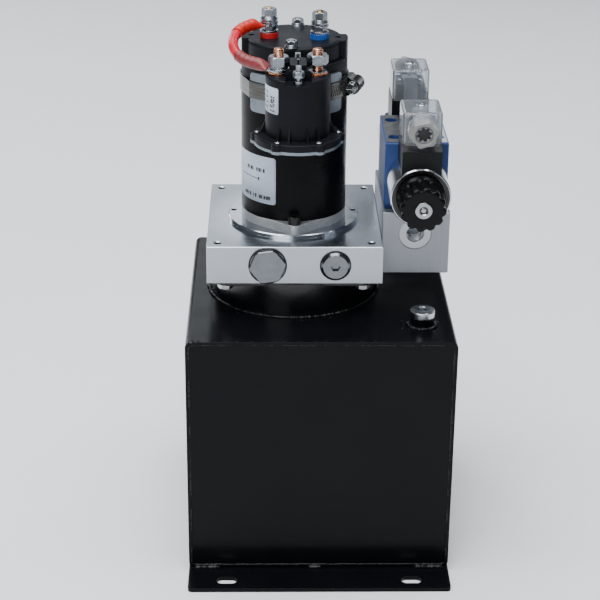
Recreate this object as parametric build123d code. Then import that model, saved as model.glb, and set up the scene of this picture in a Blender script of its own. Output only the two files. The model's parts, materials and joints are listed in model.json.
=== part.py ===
from build123d import *
import math
import os

# Hydraulic power unit, millimetres, +Z up.
# Origin: centre of the footprint, on the floor under the feet. The front faces -Y.

# ---- tank ----
TANK_HALF_W = 97.8
TANK_HALF_D = 101.7
FOOT_THICK = 3.0
TANK_TOP = 191.1
SHEET = 2.5
TANK_EDGE_R = 5.0
PANEL_RECESS = 0.6
FOOT_REACH = 28.8
FOOT_UNDER = 24.0
FOOT_CORNER_R = 3.0
SLOT_SPACING = 138.0
SLOT_LENGTH = 15.4
SLOT_WIDTH = 8.6
SLOT_Y = TANK_HALF_D + 17.4
FILLER_X, FILLER_Y = 74.0, -70.5
FILLER_BORE_R = 7.0
BOSS_R = 8.6
BOSS_TOP = 198.2
PLUG_SHANK_END = TANK_TOP + 1.2

# ---- neck and main block ----
AXIS_X, AXIS_Y = -19.2, 4.6
NECK_R = 62.9
NECK_WALL = 3.0
NECK_FLANGE_THICK = 3.0
GASKET_THICK = 1.0
BLOCK_BOTTOM = 218.6
BLOCK_TOP = 247.4
BLOCK_X0, BLOCK_X1 = -83.0, 45.0
BLOCK_Y0, BLOCK_Y1 = -60.0, 74.0
BLOCK_MID_Z = (BLOCK_BOTTOM + BLOCK_TOP) / 2
CORNER_SPACING_X = 112.0
CORNER_SPACING_Y = 117.0
CORNER_MID_X = (BLOCK_X0 + BLOCK_X1) / 2
CORNER_MID_Y = 7.0
TAP_M6_R = 2.5
NECK_BOLT_X = 50.4
NECK_BOLT_Y = 52.0
CENTRE_BORE_R = 17.0
CHECK_X, RELIEF_X = -38.7, 10.6
CHECK_BORE_R, RELIEF_BORE_R = 10.0, 8.0
CHECK_DEPTH, RELIEF_DEPTH = 40.0, 42.0
PLUG_THREAD = 12.0
GALLERY_Y = (-6.0, 18.0)
GALLERY_Z = 231.0
GALLERY_R = 3.5
SIDE_BOLT_Y = (-28.0, 42.0)
SIDE_BOLT_Z = 232.0

# ---- pump ----
GEAR_TEETH = 12
GEAR_MODULE = 2.0
GEAR_BACKLASH = 0.30
GEAR_ADDENDUM = 0.80
GEAR_DEDENDUM = 1.30
GEAR_CENTRES = GEAR_TEETH * GEAR_MODULE
PUMP_R = 26.0
PUMP_SPLIT = 188.0
PUMP_BOTTOM = 172.0
POCKET_TOP = 204.0
PUMP_SHAFT_R = 5.0
RUN_GAP = 0.05
SUCTION_X, SUCTION_Y = -36.0, 16.6
RETURN_X, RETURN_Y = 20.0, 34.0
PUMP_MID_Y = AXIS_Y + GEAR_CENTRES / 2
PUMP_BOLT_X, PUMP_BOLT_Y = 19.5, 24.0

# ---- motor ----
MOTOR_R = 38.9
MOTOR_WALL = 5.0
DISC_R = 49.0
DISC_TOP = 250.5
COVER_TOP = 257.5
TUBE_TOP = 360.5
CAP_STEP = 373.0
CAP_TOP = 386.2
CAP_ROOF = 381.5
STUD_TOPS = {-1: 407.9, 1: 406.6}
EAR_OFFSET = 43.8
EAR_R = 5.2
CAP_TURN = -5.0
THROUGH_BOLT_R = 31.0
TERMINAL_X, TERMINAL_Y = 18.2, -4.5
LUG_HOLE_R = 31.4
SHAFT_R = 6.0

# ---- contactor, its bracket and the clamp ----
CON_X, CON_Y = -17.7, -61.0
CON_R = 22.7
CON_TOP = 377.0
FLANGE_BOTTOM, FLANGE_TOP = 329.5, 334.5
PLATE_THICK = 2.0
STUD_OFFSET = 13.4
FLANGE_SCREW_R = 28.5
FLANGE_SCREW_ANGLES = (0, -60, -120, 180)
COIL_STUD_Y = (CON_Y - 16.0, CON_Y + 17.0)
COIL_STUD_FLOOR = 374.0
FLANGE_BACK = 24.2
SADDLE_R = MOTOR_R + 0.05
SADDLE_HALF_ANGLE = 53.2
SADDLE_TURN = 1.7
SADDLE_Z0, SADDLE_Z1 = 337.9, 366.6
SADDLE_NECK_ANGLE = 28.0
BAND_Z0, BAND_Z1 = 347.9, 359.9
BAND_THICK = 0.8
BAND_GAP = 0.1
WORM_R = 4.4
WORM_OUT = 5.6

# ---- valve manifold and directional valve ----
VMAN_X1 = 94.4
VMAN_Y0, VMAN_Y1 = -41.3, 53.1
VMAN_Z0, VMAN_Z1 = 219.6, 267.1
PORT_R = 6.6
PORT_DEPTH = 16.0
PORT_Z = 250.4
PORT_FACE_R = 12.0
VALVE_X = 69.2
VALVE_MID_Y = 0.5
VALVE_HALF_L = 34.4
VALVE_HALF_W = 23.0
VALVE_TOP = 317.3
VALVE_AXIS_Z = 290.5
VALVE_BOLT_X, VALVE_BOLT_Y = 15.5, 20.25
SPOOL_R = 6.0
SPOOL_TRAVEL = 3.0

# ---- solenoid, in its own frame: z runs out from the valve's end face, y is up ----
COIL_R = 21.6
WINDING_R = 18.6
COIL_LENGTH = 41.0
CORE_R = 9.5
PLUNGER_R = 7.0
KNOB_R = 15.85
KNOB_END = 66.1
NOSE_R = 6.0
PIN_R = 2.5
BASE_TOP = 37.2
HOUSING_TOP = 61.1
HOUSING_HALF_W = 13.9
HOUSING_OUT = 36.1
HOUSING_IN = 2.1
HOUSING_WALL = 1.6
HOUSING_MID = (HOUSING_OUT + HOUSING_IN) / 2
GLAND_UP = 49.2

# ---- jumper cable ----
CABLE_R = 3.6
SLEEVE_R = 4.4
LUG_BARREL_R = 3.4
LUG_BARREL_LENGTH = 7.4
SLEEVE_OVER_BARREL = 6.0
CABLE_ROUTE = [
    (-50.0, -6.0, 397.0),
    (-56.1, -10.6, 396.1),
    (-60.4, -16.8, 394.2),
    (-62.9, -24.0, 391.8),
    (-63.3, -31.8, 389.0),
    (-61.5, -39.3, 386.4),
    (-57.6, -46.0, 384.0),
    (-51.8, -51.3, 382.3),
    (-44.7, -54.7, 381.7),
]


def box(x0, x1, y0, y1, z0, z1):
    return Pos((x0 + x1) / 2, (y0 + y1) / 2, (z0 + z1) / 2) * Box(x1 - x0, y1 - y0, z1 - z0)


def zrod(r, z0, z1, x=0.0, y=0.0):
    return Pos(x, y, (z0 + z1) / 2) * Cylinder(r, z1 - z0)


def yrod(r, y0, y1, x, z):
    return Pos(x, (y0 + y1) / 2, z) * Rot(90, 0, 0) * Cylinder(r, y1 - y0)


def xrod(r, x0, x1, y, z):
    return Pos((x0 + x1) / 2, y, z) * Rot(0, 90, 0) * Cylinder(r, x1 - x0)


def tube(outer, inner, z0, z1, x=0.0, y=0.0):
    return zrod(outer, z0, z1, x, y) - zrod(inner, z0, z1, x, y)


def hex_prism(across_flats, z0, z1, x=0.0, y=0.0, turn=0.0):
    sketch = RegularPolygon(across_flats / 2, 6, major_radius=False)
    return Pos(x, y, z0) * Rot(0, 0, turn) * extrude(sketch, z1 - z0)


def hex_nut(across_flats, z0, z1, x=0.0, y=0.0, turn=0.0):
    """Hexagon with its corners rounded off by a cone at the top and bottom."""
    corner_r = across_flats / 2 / math.cos(math.pi / 6)
    rounding = zrod(corner_r, z0, z1)
    rounding = chamfer(rounding.edges().filter_by(GeomType.CIRCLE), corner_r - across_flats / 2)
    return Pos(x, y, 0) * (hex_prism(across_flats, z0, z1, turn=turn) & rounding)


def corners(mid_x, mid_y, half_x, half_y):
    return [(mid_x + sx * half_x, mid_y + sy * half_y) for sx in (-1, 1) for sy in (-1, 1)]


def flange_screw_places():
    places = []
    for angle in FLANGE_SCREW_ANGLES:
        x = CON_X + FLANGE_SCREW_R * math.cos(math.radians(angle))
        y = CON_Y + FLANGE_SCREW_R * math.sin(math.radians(angle))
        places.append((x, y))
    return places


def spring(radius, wire, z0, z1, turns):
    path = Helix(pitch=(z1 - z0) / turns, height=z1 - z0, radius=radius)
    section = Plane(path @ 0, z_dir=path % 0) * Circle(wire)
    return Pos(0, 0, z0) * sweep(section, path=path)


def on_axis(shape):
    """Move a shape built round the Z axis to the motor's axis."""
    return Pos(AXIS_X, AXIS_Y, 0) * shape


def on_cap(shape):
    """As on_axis, turned with the motor's end cap."""
    return Pos(AXIS_X, AXIS_Y, 0) * Rot(0, 0, CAP_TURN) * shape


def facing_front(shape, x, y, z):
    """Lay a shape built along +Z so that it points out of a front face, towards -Y."""
    return Pos(x, y, z) * Rot(90, 0, 0) * shape


def both_solenoids(shape):
    """One copy on the valve's front end and one, turned round, on its rear end."""
    front = Pos(VALVE_X, VALVE_MID_Y - VALVE_HALF_L, VALVE_AXIS_Z) * Rot(90, 0, 0)
    rear = Pos(VALVE_X, VALVE_MID_Y + VALVE_HALF_L, VALVE_AXIS_Z) * Rot(0, 0, 180) * Rot(90, 0, 0)
    return [front * shape, rear * shape]


# ---------------------------------------------------------------- tank

def tank_section(inset, radius):
    height = TANK_TOP - FOOT_THICK
    sketch = RectangleRounded(2 * (TANK_HALF_W - inset), height - 2 * inset, radius)
    return Pos(0, 0, (TANK_TOP + FOOT_THICK) / 2) * Rot(90, 0, 0) * sketch


def tank_shell():
    outer = extrude(tank_section(0, TANK_EDGE_R), TANK_HALF_D, both=True)
    inner = extrude(tank_section(SHEET, TANK_EDGE_R - SHEET), TANK_HALF_D, both=True)
    shell = outer - inner
    shell -= zrod(NECK_R - NECK_WALL, TANK_TOP - 10, TANK_TOP + 1, AXIS_X, AXIS_Y)
    shell -= zrod(FILLER_BORE_R, TANK_TOP - 10, TANK_TOP + 1, FILLER_X, FILLER_Y)
    return shell


def tank_end_panels():
    panel = extrude(tank_section(SHEET, TANK_EDGE_R - SHEET), SHEET / 2, both=True)
    middle = TANK_HALF_D - PANEL_RECESS - SHEET / 2
    return [Pos(0, -middle, 0) * panel, Pos(0, middle, 0) * panel]


def tank_neck():
    neck = tube(NECK_R, NECK_R - NECK_WALL, TANK_TOP, BLOCK_BOTTOM - GASKET_THICK)
    flange_top = BLOCK_BOTTOM - GASKET_THICK
    plate = box(-57, 57, -59, 59, flange_top - NECK_FLANGE_THICK, flange_top)
    plate = fillet(plate.edges().filter_by(Axis.Z), 7)
    plate -= zrod(NECK_R - NECK_WALL, flange_top - 5, flange_top + 1)
    for x, y in corners(0, 0, NECK_BOLT_X, NECK_BOLT_Y):
        plate -= zrod(3.2, flange_top - 5, flange_top + 1, x, y)
    return on_axis(neck + plate)


def neck_gasket():
    gasket = box(-56, 56, -58, 58, BLOCK_BOTTOM - GASKET_THICK, BLOCK_BOTTOM)
    gasket = fillet(gasket.edges().filter_by(Axis.Z), 6)
    gasket += zrod(NECK_R - 0.5, BLOCK_BOTTOM - GASKET_THICK, BLOCK_BOTTOM)
    gasket -= zrod(NECK_R - NECK_WALL, BLOCK_BOTTOM - 2, BLOCK_BOTTOM + 1)
    for x, y in corners(0, 0, NECK_BOLT_X, NECK_BOLT_Y):
        gasket -= zrod(3.2, BLOCK_BOTTOM - 2, BLOCK_BOTTOM + 1, x, y)
    return on_axis(gasket)


def tank_foot():
    """Front foot strip, with one slot near each end."""
    front = -(TANK_HALF_D + FOOT_REACH)
    foot = box(-TANK_HALF_W, TANK_HALF_W, front, -TANK_HALF_D + FOOT_UNDER, 0, FOOT_THICK)
    foot = fillet(foot.edges().filter_by(Axis.Z).group_by(Axis.Y)[0], FOOT_CORNER_R)
    slot = extrude(SlotOverall(SLOT_LENGTH, SLOT_WIDTH), FOOT_THICK + 2)
    for side in (-1, 1):
        foot -= Pos(side * SLOT_SPACING / 2, -SLOT_Y, -1) * slot
    return foot


def tank_feet():
    foot = tank_foot()
    return [foot, Rot(0, 0, 180) * foot]


def filler_boss():
    return tube(BOSS_R, FILLER_BORE_R, TANK_TOP, BOSS_TOP, FILLER_X, FILLER_Y)


def filler_plug():
    head = zrod(9.0, BOSS_TOP + 0.1, BOSS_TOP + 4.8)
    head = fillet(head.edges().filter_by(GeomType.CIRCLE).group_by(Axis.Z)[-1], 0.8)
    head -= hex_prism(6.0, BOSS_TOP + 1.8, BOSS_TOP + 6)
    head -= zrod(5.4, BOSS_TOP + 4.3, BOSS_TOP + 6)
    shank = zrod(FILLER_BORE_R - RUN_GAP, PLUG_SHANK_END, BOSS_TOP + 0.2)
    return Pos(FILLER_X, FILLER_Y, 0) * (head + shank)


# ---------------------------------------------------------------- main block

def main_manifold():
    block = box(BLOCK_X0, BLOCK_X1, BLOCK_Y0, BLOCK_Y1, BLOCK_BOTTOM, BLOCK_TOP)
    block = chamfer(block.edges(), 0.5)
    block -= zrod(CENTRE_BORE_R, BLOCK_BOTTOM - 1, BLOCK_TOP + 1, AXIS_X, AXIS_Y)
    for x, y in corners(CORNER_MID_X, CORNER_MID_Y, CORNER_SPACING_X / 2, CORNER_SPACING_Y / 2):
        block -= zrod(TAP_M6_R, BLOCK_TOP - 14, BLOCK_TOP + 1, x, y)
        block -= Pos(x, y, BLOCK_TOP - 0.35) * Cone(TAP_M6_R, TAP_M6_R + 0.7, 0.7)
    for x, y in corners(AXIS_X, AXIS_Y, NECK_BOLT_X, NECK_BOLT_Y):
        block -= zrod(3.0, BLOCK_BOTTOM - 1, BLOCK_BOTTOM + 11, x, y)
    for side in (-1, 1):
        block -= zrod(3.0, BLOCK_TOP - 14, BLOCK_TOP + 1, AXIS_X, AXIS_Y + side * EAR_OFFSET)
        block -= zrod(2.2, BLOCK_TOP - 10, BLOCK_TOP + 1, AXIS_X + side * 45.0, AXIS_Y + 3.9)
    block -= yrod(CHECK_BORE_R, BLOCK_Y0 - 1, BLOCK_Y0 + CHECK_DEPTH, CHECK_X, BLOCK_MID_Z)
    block -= yrod(RELIEF_BORE_R, BLOCK_Y0 - 1, BLOCK_Y0 + RELIEF_DEPTH, RELIEF_X, BLOCK_MID_Z)
    for y in GALLERY_Y:
        block -= xrod(GALLERY_R, BLOCK_X1 - 24, BLOCK_X1 + 1, y, GALLERY_Z)
    block -= zrod(4.6, BLOCK_BOTTOM - 1, BLOCK_BOTTOM + 14, RETURN_X, RETURN_Y)
    for x, y in corners(AXIS_X, PUMP_MID_Y, PUMP_BOLT_X, PUMP_BOLT_Y):
        block -= zrod(3.0, BLOCK_BOTTOM - 1, BLOCK_BOTTOM + 12, x, y)
    for y in SIDE_BOLT_Y:
        block -= xrod(3.0, BLOCK_X1 - 15, BLOCK_X1 + 1, y, SIDE_BOLT_Z)
    return block


def adapter_flange():
    disc = zrod(DISC_R, BLOCK_TOP, DISC_TOP)
    disc = chamfer(disc.edges().group_by(Axis.Z)[-1], 0.6)
    disc -= zrod(CENTRE_BORE_R, BLOCK_TOP - 1, DISC_TOP + 1)
    for side in (-1, 1):
        disc -= zrod(3.2, BLOCK_TOP - 1, DISC_TOP + 1, 0, side * EAR_OFFSET)
        disc -= zrod(2.2, BLOCK_TOP - 1, DISC_TOP + 1, side * 45.0, 3.9)
    return on_axis(disc)


def check_plug():
    """Hexagon-headed screw plug that closes the check valve's cavity."""
    head = hex_prism(24.4, 0, 3.6, turn=8) & zrod(13.3, 0, 3.6)
    head = chamfer(head.edges().group_by(Axis.Z)[-1], 0.5)
    seat = zrod(13.4, 0, 0.8)
    thread = tube(CHECK_BORE_R, 6.5, -PLUG_THREAD, 0)
    return facing_front(head + seat + thread, CHECK_X, BLOCK_Y0, BLOCK_MID_Z)


def relief_plug():
    """Round-headed pressure-setting screw with a hexagon socket."""
    head = zrod(10.6, 0, 3.2)
    head = chamfer(head.edges().group_by(Axis.Z)[-1], 1.6)
    head -= hex_prism(6.2, 0.6, 4)
    thread = tube(RELIEF_BORE_R, 5.4, -PLUG_THREAD, 0)
    return facing_front(head + thread, RELIEF_X, BLOCK_Y0, BLOCK_MID_Z)


def poppet(radius, length):
    body = zrod(radius, 0, length)
    nose = Pos(0, 0, -2.5) * Cone(1.5, radius, 5.0)
    return body + nose - zrod(radius - 2.0, length - 5, length + 1)


def check_poppet():
    shape = poppet(CHECK_BORE_R - 0.05, 10.0)
    return facing_front(shape, CHECK_X, BLOCK_Y0 + CHECK_DEPTH - 5.2, BLOCK_MID_Z)


def relief_poppet():
    shape = poppet(RELIEF_BORE_R - 0.05, 9.0)
    return facing_front(shape, RELIEF_X, BLOCK_Y0 + RELIEF_DEPTH - 5.2, BLOCK_MID_Z)


def poppet_springs():
    check = facing_front(spring(4.4, 0.7, 0, 12, 5), CHECK_X, BLOCK_Y0 + 24.0, BLOCK_MID_Z)
    relief = facing_front(spring(3.9, 0.8, 0, 15, 6), RELIEF_X, BLOCK_Y0 + 28.0, BLOCK_MID_Z)
    return [check, relief]


# ---------------------------------------------------------------- pump

def involute(angle):
    return math.tan(angle) - angle


def gear_section(turn):
    """Involute spur gear; turn is the angle of one tooth's middle, in degrees."""
    pitch_r = GEAR_TEETH * GEAR_MODULE / 2
    base_r = pitch_r * math.cos(math.radians(20))
    tip_r = pitch_r + GEAR_ADDENDUM * GEAR_MODULE
    root_r = pitch_r - GEAR_DEDENDUM * GEAR_MODULE
    half_pitch = math.pi / 2 / GEAR_TEETH - GEAR_BACKLASH / 2 / pitch_r
    flank = []
    for step in range(5):
        r = base_r + (tip_r - base_r) * step / 4
        flank.append((r, half_pitch + involute(math.radians(20)) - involute(math.acos(base_r / r))))
    flank.insert(0, (root_r, flank[0][1] * 0.80))
    points = []
    for tooth in range(GEAR_TEETH):
        middle = math.radians(turn) + 2 * math.pi * tooth / GEAR_TEETH
        outline = [(r, middle - a) for r, a in flank] + [(r, middle + a) for r, a in reversed(flank)]
        points += [(r * math.cos(a), r * math.sin(a)) for r, a in outline]
    return Polygon(*points, align=None)


def pump_gear(turn):
    return Pos(0, 0, PUMP_SPLIT + 0.15) * extrude(gear_section(turn), POCKET_TOP - PUMP_SPLIT - 0.3)


def drive_gear():
    """Driving gear and its shaft, up to the coupling."""
    shaft = zrod(PUMP_SHAFT_R, 178.5, 231.0)
    return on_axis(pump_gear(90) + shaft)


def driven_gear():
    shaft = zrod(PUMP_SHAFT_R, 178.5, 213.5)
    return Pos(AXIS_X, AXIS_Y + GEAR_CENTRES, 0) * (pump_gear(90 + 180 / GEAR_TEETH) + shaft)


def pump_outline(radius):
    sketch = Rot(0, 0, 90) * SlotCenterToCenter(GEAR_CENTRES, 2 * radius)
    return Pos(AXIS_X, PUMP_MID_Y, 0) * sketch


def pump_body():
    pocket_r = GEAR_MODULE * (GEAR_TEETH / 2 + GEAR_ADDENDUM) + 0.3
    body = Pos(0, 0, PUMP_SPLIT) * extrude(pump_outline(PUMP_R), BLOCK_BOTTOM - PUMP_SPLIT)
    for y in (AXIS_Y, AXIS_Y + GEAR_CENTRES):
        body -= zrod(pocket_r, PUMP_SPLIT - 1, POCKET_TOP, AXIS_X, y)
    body -= zrod(PUMP_SHAFT_R + RUN_GAP, POCKET_TOP - 1, BLOCK_BOTTOM + 1, AXIS_X, AXIS_Y)
    body -= zrod(PUMP_SHAFT_R + RUN_GAP, POCKET_TOP - 1, 214.0, AXIS_X, AXIS_Y + GEAR_CENTRES)
    for x, y in corners(AXIS_X, PUMP_MID_Y, PUMP_BOLT_X, PUMP_BOLT_Y):
        body -= zrod(3.2, PUMP_SPLIT - 1, BLOCK_BOTTOM + 1, x, y)
    return body


def pump_cover():
    cover = Pos(0, 0, PUMP_BOTTOM) * extrude(pump_outline(PUMP_R), PUMP_SPLIT - PUMP_BOTTOM)
    cover = chamfer(cover.edges().group_by(Axis.Z)[0], 1.5)
    for y in (AXIS_Y, AXIS_Y + GEAR_CENTRES):
        cover -= zrod(PUMP_SHAFT_R + RUN_GAP, 178.0, PUMP_SPLIT + 1, AXIS_X, y)
    cover -= zrod(5.5, PUMP_BOTTOM - 1, PUMP_SPLIT + 1, SUCTION_X, SUCTION_Y)
    for x, y in corners(AXIS_X, PUMP_MID_Y, PUMP_BOLT_X, PUMP_BOLT_Y):
        cover -= zrod(3.2, PUMP_BOTTOM - 1, PUMP_SPLIT + 1, x, y)
    return cover


def shaft_coupling():
    sleeve = zrod(12.5, 221.0, 245.0)
    sleeve = chamfer(sleeve.edges().filter_by(GeomType.CIRCLE), 1)
    sleeve -= zrod(PUMP_SHAFT_R, 220.0, 232.0)
    sleeve -= zrod(SHAFT_R, 232.0, 246.0)
    return on_axis(sleeve)


def oil_tubes():
    suction = tube(7.0, 5.5, 36.0, PUMP_BOTTOM, SUCTION_X, SUCTION_Y)
    back = tube(6.0, 4.6, 30.0, BLOCK_BOTTOM, RETURN_X, RETURN_Y)
    return [suction, back]


def suction_strainer():
    can = zrod(19.0, 10.0, 44.0, SUCTION_X, SUCTION_Y)
    can = fillet(can.edges().filter_by(GeomType.CIRCLE), 2)
    can -= zrod(17.0, 12.5, 41.0, SUCTION_X, SUCTION_Y)
    can -= zrod(7.0, 36.0, 45.0, SUCTION_X, SUCTION_Y)
    for row in range(3):
        for step in range(6):
            hole = Pos(0, 0, 18 + 8 * row) * Rot(0, 90, 30 * step + 15 * row) * Cylinder(2.2, 50)
            can -= Pos(SUCTION_X, SUCTION_Y, 0) * hole
    return can


def screw_down(head_r, head_h, shank_r, length, socket):
    """Socket-head screw, head up, with the underside of its head at z = 0."""
    head = zrod(head_r, 0, head_h)
    head = chamfer(head.edges().group_by(Axis.Z)[-1], head_r * 0.12)
    head -= hex_prism(socket, head_h * 0.45, head_h + 1)
    return head + zrod(shank_r, -length, 0.0)


def hex_bolt_up(x, y, under_head, length):
    """Hexagon bolt, head down, with the face under its head at the given height."""
    head = hex_nut(10.0, under_head - 4.0, under_head, x, y)
    return head + zrod(3.0, under_head - 1, under_head + length, x, y)


def assembly_screws():
    """The plated screws that hold the tank neck, pump, valve manifold, valve and plugs."""
    screws = []
    flange_bottom = BLOCK_BOTTOM - GASKET_THICK - NECK_FLANGE_THICK
    for x, y in corners(AXIS_X, AXIS_Y, NECK_BOLT_X, NECK_BOLT_Y):
        screws.append(hex_bolt_up(x, y, flange_bottom, 14.0))
    for x, y in corners(AXIS_X, PUMP_MID_Y, PUMP_BOLT_X, PUMP_BOLT_Y):
        screws.append(hex_bolt_up(x, y, PUMP_BOTTOM, 58.0))
    for y in SIDE_BOLT_Y:
        side_screw = Rot(0, 90, 0) * screw_down(5.0, 6.0, 3.0, 49.0, 5.0)
        screws.append(Pos(VMAN_X1 - 14, y, SIDE_BOLT_Z) * side_screw)
    for x, y in corners(VALVE_X, VALVE_MID_Y, VALVE_BOLT_X, VALVE_BOLT_Y):
        screws.append(Pos(x, y, 280.0) * screw_down(4.2, 5.0, 2.5, 24.0, 4.0))
    connector_screw = Rot(-90, 0, 0) * screw_down(3.4, 2.4, 1.5, 18.0, 2.5)
    screws += both_solenoids(Pos(0, HOUSING_TOP - 1.0, HOUSING_MID) * connector_screw)
    for x, y in flange_screw_places():
        screws.append(Pos(x, y, FLANGE_TOP) * screw_down(1.9, 1.0, 1.2, 6.0, 1.2))
    return screws


# ---------------------------------------------------------------- motor

def drive_cover():
    """Cast cover with one ear in front and one behind, and a bearing seat."""
    circles = [Circle(MOTOR_R)]
    circles += [Pos(0, side * EAR_OFFSET, 0) * Circle(EAR_R) for side in (-1, 1)]
    outline = make_hull([edge for circle in circles for edge in circle.edges()])
    cover = Pos(0, 0, DISC_TOP) * extrude(outline, COVER_TOP - DISC_TOP)
    cover = fillet(cover.edges().group_by(Axis.Z)[-1], 0.6)
    cover += zrod(MOTOR_R - MOTOR_WALL, COVER_TOP - 1, COVER_TOP + 5)
    cover -= zrod(16.0, 252.5, COVER_TOP + 6)
    cover -= zrod(9.0, DISC_TOP - 1, COVER_TOP)
    for side in (-1, 1):
        cover -= zrod(3.2, DISC_TOP - 1, COVER_TOP + 1, 0, side * EAR_OFFSET)
        angle = math.radians(CAP_TURN + side * 90)
        x, y = THROUGH_BOLT_R * math.cos(angle), THROUGH_BOLT_R * math.sin(angle)
        cover -= zrod(2.5, DISC_TOP + 1, COVER_TOP + 6, x, y)
    return on_axis(cover)


def motor_housing():
    yoke = tube(MOTOR_R, MOTOR_R - MOTOR_WALL, COVER_TOP, TUBE_TOP)
    yoke = chamfer(yoke.edges().filter_by(GeomType.CIRCLE).group_by(Axis.Z)[-1][0], 0.5)
    return on_axis(yoke)


def motor_end_cap():
    skirt = zrod(38.6, TUBE_TOP, CAP_STEP)
    skirt = fillet(skirt.edges().group_by(Axis.Z)[-1], 1.2)
    dome = zrod(35.0, CAP_STEP - 1, CAP_TOP)
    dome = fillet(dome.edges().group_by(Axis.Z)[-1], 2.5)
    lug = box(20, 38.6, -9.5, 9.5, CAP_STEP - 1, CAP_TOP) & zrod(38.6, CAP_STEP - 1, CAP_TOP)
    lug = fillet(lug.edges().filter_by(Axis.Z).group_by(Axis.X)[-1], 2.0)
    lug = fillet(lug.edges().group_by(Axis.Z)[-1], 0.8)
    cap = skirt + dome + lug + Rot(0, 0, 180) * lug
    cap -= zrod(34.0, TUBE_TOP - 1, 377.0)
    cap -= zrod(32.0, 376.0, CAP_ROOF)
    cap += tube(13.0, 9.5, 371.5, 382.0)
    for side in (-1, 1):
        cap -= zrod(2.1, CAP_TOP - 8, CAP_TOP + 1, side * LUG_HOLE_R, 0)
        cap -= zrod(3.0, 370, CAP_TOP + 1, side * TERMINAL_X, TERMINAL_Y)
        cap -= zrod(2.5, TUBE_TOP - 1, CAP_TOP + 1, 0, side * THROUGH_BOLT_R)
    return on_cap(cap)


def magnets():
    """Two ferrite arcs on the inside of the yoke."""
    ring = tube(MOTOR_R - MOTOR_WALL, 27.2, 272.0, 338.0)
    wedge = extrude(Polygon((0, 0), (60, -75), (60, 75), align=None), 400)
    arc = ring & wedge
    return [on_cap(arc), on_cap(Rot(0, 0, 180) * arc)]


def armature():
    core = zrod(26.0, 276.0, 334.0)
    for slot in range(12):
        core -= Rot(0, 0, 30 * slot) * box(20, 27, -1.2, 1.2, 275, 335)
    ends = [zrod(22.0, 268.5, 276.0), zrod(22.0, 334.0, 342.0)]
    ends = [fillet(end.edges().filter_by(GeomType.CIRCLE), 2) for end in ends]
    commutator = zrod(12.0, 349.0, 366.0)
    for bar in range(16):
        commutator -= Rot(0, 0, 22.5 * bar) * box(11.2, 13, -0.3, 0.3, 351, 367)
    shaft = zrod(SHAFT_R, 232.0, 349.0) + zrod(8.0, 341.0, 350.0) + zrod(4.0, 365.0, 380.5)
    return on_axis(core + ends[0] + ends[1] + commutator + shaft)


def bearing(outer, inner, z0, z1):
    """Ball bearing drawn as one ring, with the groove between its races on both faces."""
    middle = (outer + inner) / 2
    gap = (outer - inner) * 0.18
    ring = tube(outer, inner, z0, z1)
    for face in (z0 - 1, z1 - 0.8):
        ring -= tube(middle + gap, middle - gap, face, face + 1.8)
    return ring


def motor_bearings():
    lower = bearing(16.0, SHAFT_R + RUN_GAP, 252.5, 262.5)
    upper = bearing(9.5, 4.0 + RUN_GAP, 372.0, 380.0)
    return [on_axis(lower), on_axis(upper)]


def brush_gear():
    """Brush plate with four boxed brushes round the commutator."""
    plate = tube(33.4, 14.0, 357.0, 359.0)
    for side in (-1, 1):
        plate -= zrod(3.6, 356, 360, 0, side * THROUGH_BOLT_R)
    holder = box(15.0, 28.0, -5.0, 5.0, 359.0, 366.0)
    brush = box(12.35, 24.0, -3.5, 3.5, 360.2, 364.8)
    gear = plate
    for turn in (45, 135, 225, 315):
        gear += Rot(0, 0, turn) * (holder + brush)
    return on_cap(gear)


def terminal_studs():
    """Brass motor studs and copper contactor studs, each with its inner head."""
    studs = []
    for side in (-1, 1):
        stud = zrod(3.0, CAP_ROOF - 3.5, STUD_TOPS[side]) + hex_prism(9.0, CAP_ROOF - 3.5, CAP_ROOF)
        studs.append(on_cap(Pos(side * TERMINAL_X, TERMINAL_Y, 0) * stud))
    for side in (-1, 1):
        stud = zrod(3.75, 368.5, 394.9) + zrod(6.0, 366.5, 369.5)
        stud = chamfer(stud.edges().group_by(Axis.Z)[-1], 0.6)
        studs.append(Pos(CON_X + side * STUD_OFFSET, CON_Y, 0) * stud)
    return studs


def terminal_insulators():
    bush = tube(6.8, 3.0, CAP_TOP, CAP_TOP + 4.2)
    bush = fillet(bush.edges().filter_by(GeomType.CIRCLE).group_by(Axis.Z)[-1], 0.6)
    return [on_cap(Pos(side * TERMINAL_X, TERMINAL_Y, 0) * bush) for side in (-1, 1)]


def flange_nut(across_flats, flange_r, z0, height, bore):
    skirt = Pos(0, 0, z0 + 1.1) * Cone(flange_r, across_flats / 2 + 0.3, 2.2)
    nut = hex_nut(across_flats, z0 + 0.2, z0 + height) + skirt
    return nut - zrod(bore, z0 - 1, z0 + height + 1)


def washer(outer, inner, z0, z1):
    return tube(outer, inner, z0, z1)


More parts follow.
